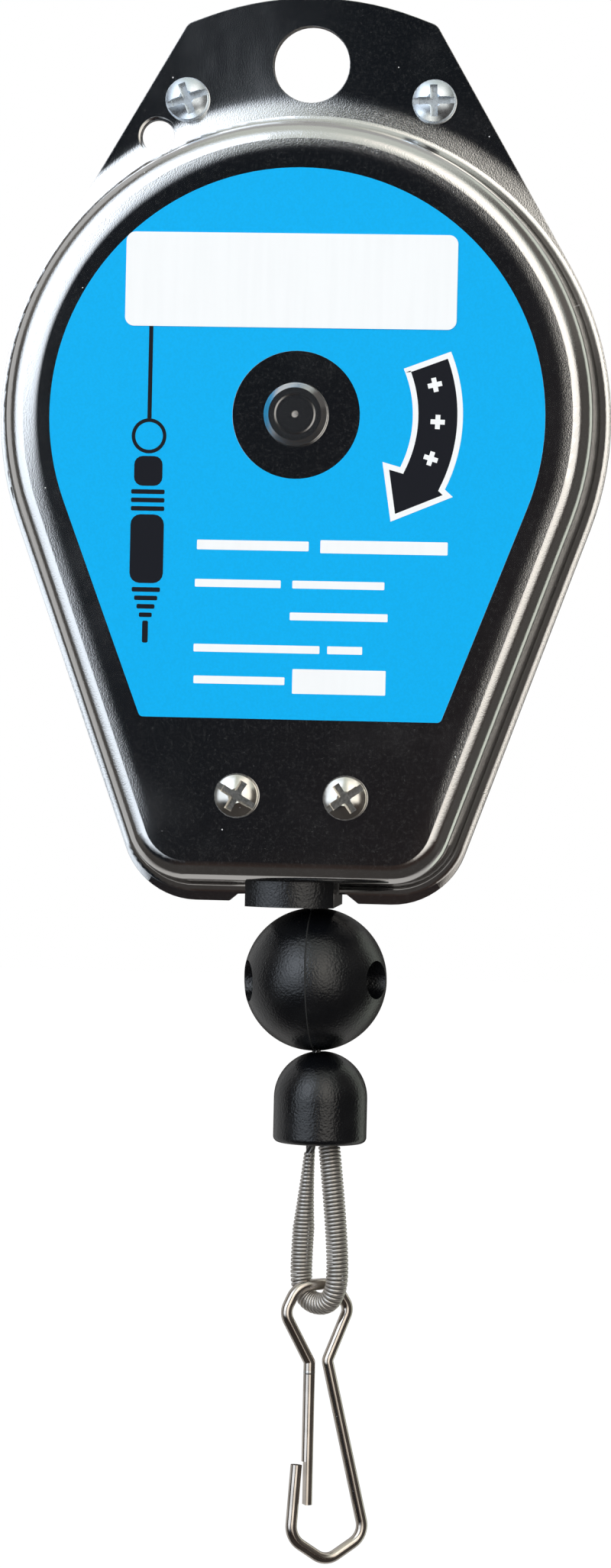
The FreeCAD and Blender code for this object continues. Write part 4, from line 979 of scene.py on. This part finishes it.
def soft_lamp(name, place, target, size, power, rgb):
    """A square area lamp that looks at a target and is seen neither by the camera nor in reflections."""
    data = bpy.data.lights.new(name, "AREA")
    data.size = size
    data.energy = power
    data.color = rgb
    lamp = bpy.data.objects.new(name, data)
    lamp.location = place
    lamp.rotation_euler = (Vector(target) - Vector(place)).to_track_quat("-Z", "Y").to_euler()
    lamp.visible_glossy = False
    lamp.visible_camera = False
    bpy.context.scene.collection.objects.link(lamp)


def floor_material(rgb):
    """Pale floor: white to the camera apart from soft shadow, and its own colour in reflections."""
    material = bpy.data.materials.new("floor")
    material.use_nodes = True
    tree = material.node_tree
    tree.nodes.clear()
    place = tree.nodes.new("ShaderNodeTexCoord").outputs["Object"]
    cloud = noise(tree, place, 6.0, 3.0)
    base = mixed(tree, cloud, rgb, tuple(0.97 * channel for channel in rgb))
    matt = put(tree, "ShaderNodeBsdfDiffuse", {"Color": base})
    glow = put(tree, "ShaderNodeEmission", {"Color": (1.0, 1.0, 1.0, 1.0), "Strength": 1.1})
    is_camera = tree.nodes.new("ShaderNodeLightPath").outputs["Is Camera Ray"]
    shown = put(tree, "ShaderNodeMixShader", {0: math_node(tree, "MULTIPLY", is_camera, 0.9),
                                              1: matt.outputs[0], 2: glow.outputs[0]})
    out = tree.nodes.new("ShaderNodeOutputMaterial")
    tree.links.new(shown.outputs[0], out.inputs["Surface"])
    return material


class BALANCER_OT_stage(bpy.types.Operator):
    """Sets up the camera, the floor and the studio light"""
    bl_idname = "balancer.stage"
    bl_label = "Stage"

    def execute(self, context):
        sizes = context.scene.balancer_stage
        context.scene.view_settings.view_transform = "Standard"
        low = Vector(cad_box[0])
        bpy.ops.object.select_all(action="DESELECT")
        bpy.ops.mesh.primitive_plane_add(size=sizes.floor_size, location=(0, 0, low.z - sizes.floor_drop))
        floor = context.object
        floor.name = "floor"
        bpy.ops.object.transform_apply(location=True, rotation=True, scale=True)
        floor.data.materials.append(floor_material(tuple(sizes.floor_colour)))
        floor.visible_glossy = False
        studio_world()
        middle = Vector((0, 0, sizes.aim_level))
        for name, place, size, power, rgb in LAMPS:
            soft_lamp(name, place, middle, size, power, rgb)
        data = bpy.data.cameras.new("camera")
        data.lens = sizes.lens
        data.clip_start = 0.01
        camera = bpy.data.objects.new("camera", data)
        camera.location = (sizes.camera_side, -sizes.camera_back, sizes.camera_level)
        sight = Vector((sizes.aim_side, 0, sizes.aim_level)) - camera.location
        turn = sight.to_track_quat("-Z", "Y") @ Quaternion((0, 0, 1), sizes.camera_roll)
        camera.rotation_euler = turn.to_euler()
        context.scene.collection.objects.link(camera)
        context.scene.camera = camera
        return {"FINISHED"}


class BALANCER_OT_finishes(bpy.types.Operator):
    """Gives every carried-over node its finish"""
    bl_idname = "balancer.finishes"
    bl_label = "Finishes"

    def execute(self, context):
        materials = make_materials()
        for name, node in frame["nodes"].items():
            node.data.materials.clear()
            node.data.materials.append(materials[NODE_FINISH[name]])
        return {"FINISHED"}


# ---- Add-on ---------------------------------------------------------------

class BALANCER_PT_panel(bpy.types.Panel):
    """Lists the steps"""
    bl_idname = "BALANCER_PT_panel"
    bl_label = "Tool balancer"
    bl_space_type = "VIEW_3D"
    bl_region_type = "UI"
    bl_category = "Balancer"

    def draw(self, context):
        for step in STEPS:
            self.layout.operator(step.bl_idname)


STEPS = (BALANCER_OT_finishes, BALANCER_OT_guard, BALANCER_OT_rope, BALANCER_OT_ball_seam,
         BALANCER_OT_gate_bend, BALANCER_OT_label_print, BALANCER_OT_stage)
GROUPS = {
    "balancer_stage": BALANCER_PG_stage, "balancer_loop": BALANCER_PG_loop,
    "balancer_small": BALANCER_PG_small, "balancer_print": BALANCER_PG_print,
    "balancer_finish": BALANCER_PG_finish,
}


def register():
    for group in GROUPS.values():
        bpy.utils.register_class(group)
    for name, group in GROUPS.items():
        setattr(bpy.types.Scene, name, PointerProperty(type=group))
    for step in STEPS:
        bpy.utils.register_class(step)
    bpy.utils.register_class(BALANCER_PT_panel)


def unregister():
    bpy.utils.unregister_class(BALANCER_PT_panel)
    for step in reversed(STEPS):
        bpy.utils.unregister_class(step)
    for name, group in GROUPS.items():
        delattr(bpy.types.Scene, name)
        bpy.utils.unregister_class(group)


def main():
    """Runs the steps in order."""
    register()
    for step in STEPS:
        category, name = step.bl_idname.split(".")
        getattr(getattr(bpy.ops, category), name)()


if __name__ == "__main__":
    main()
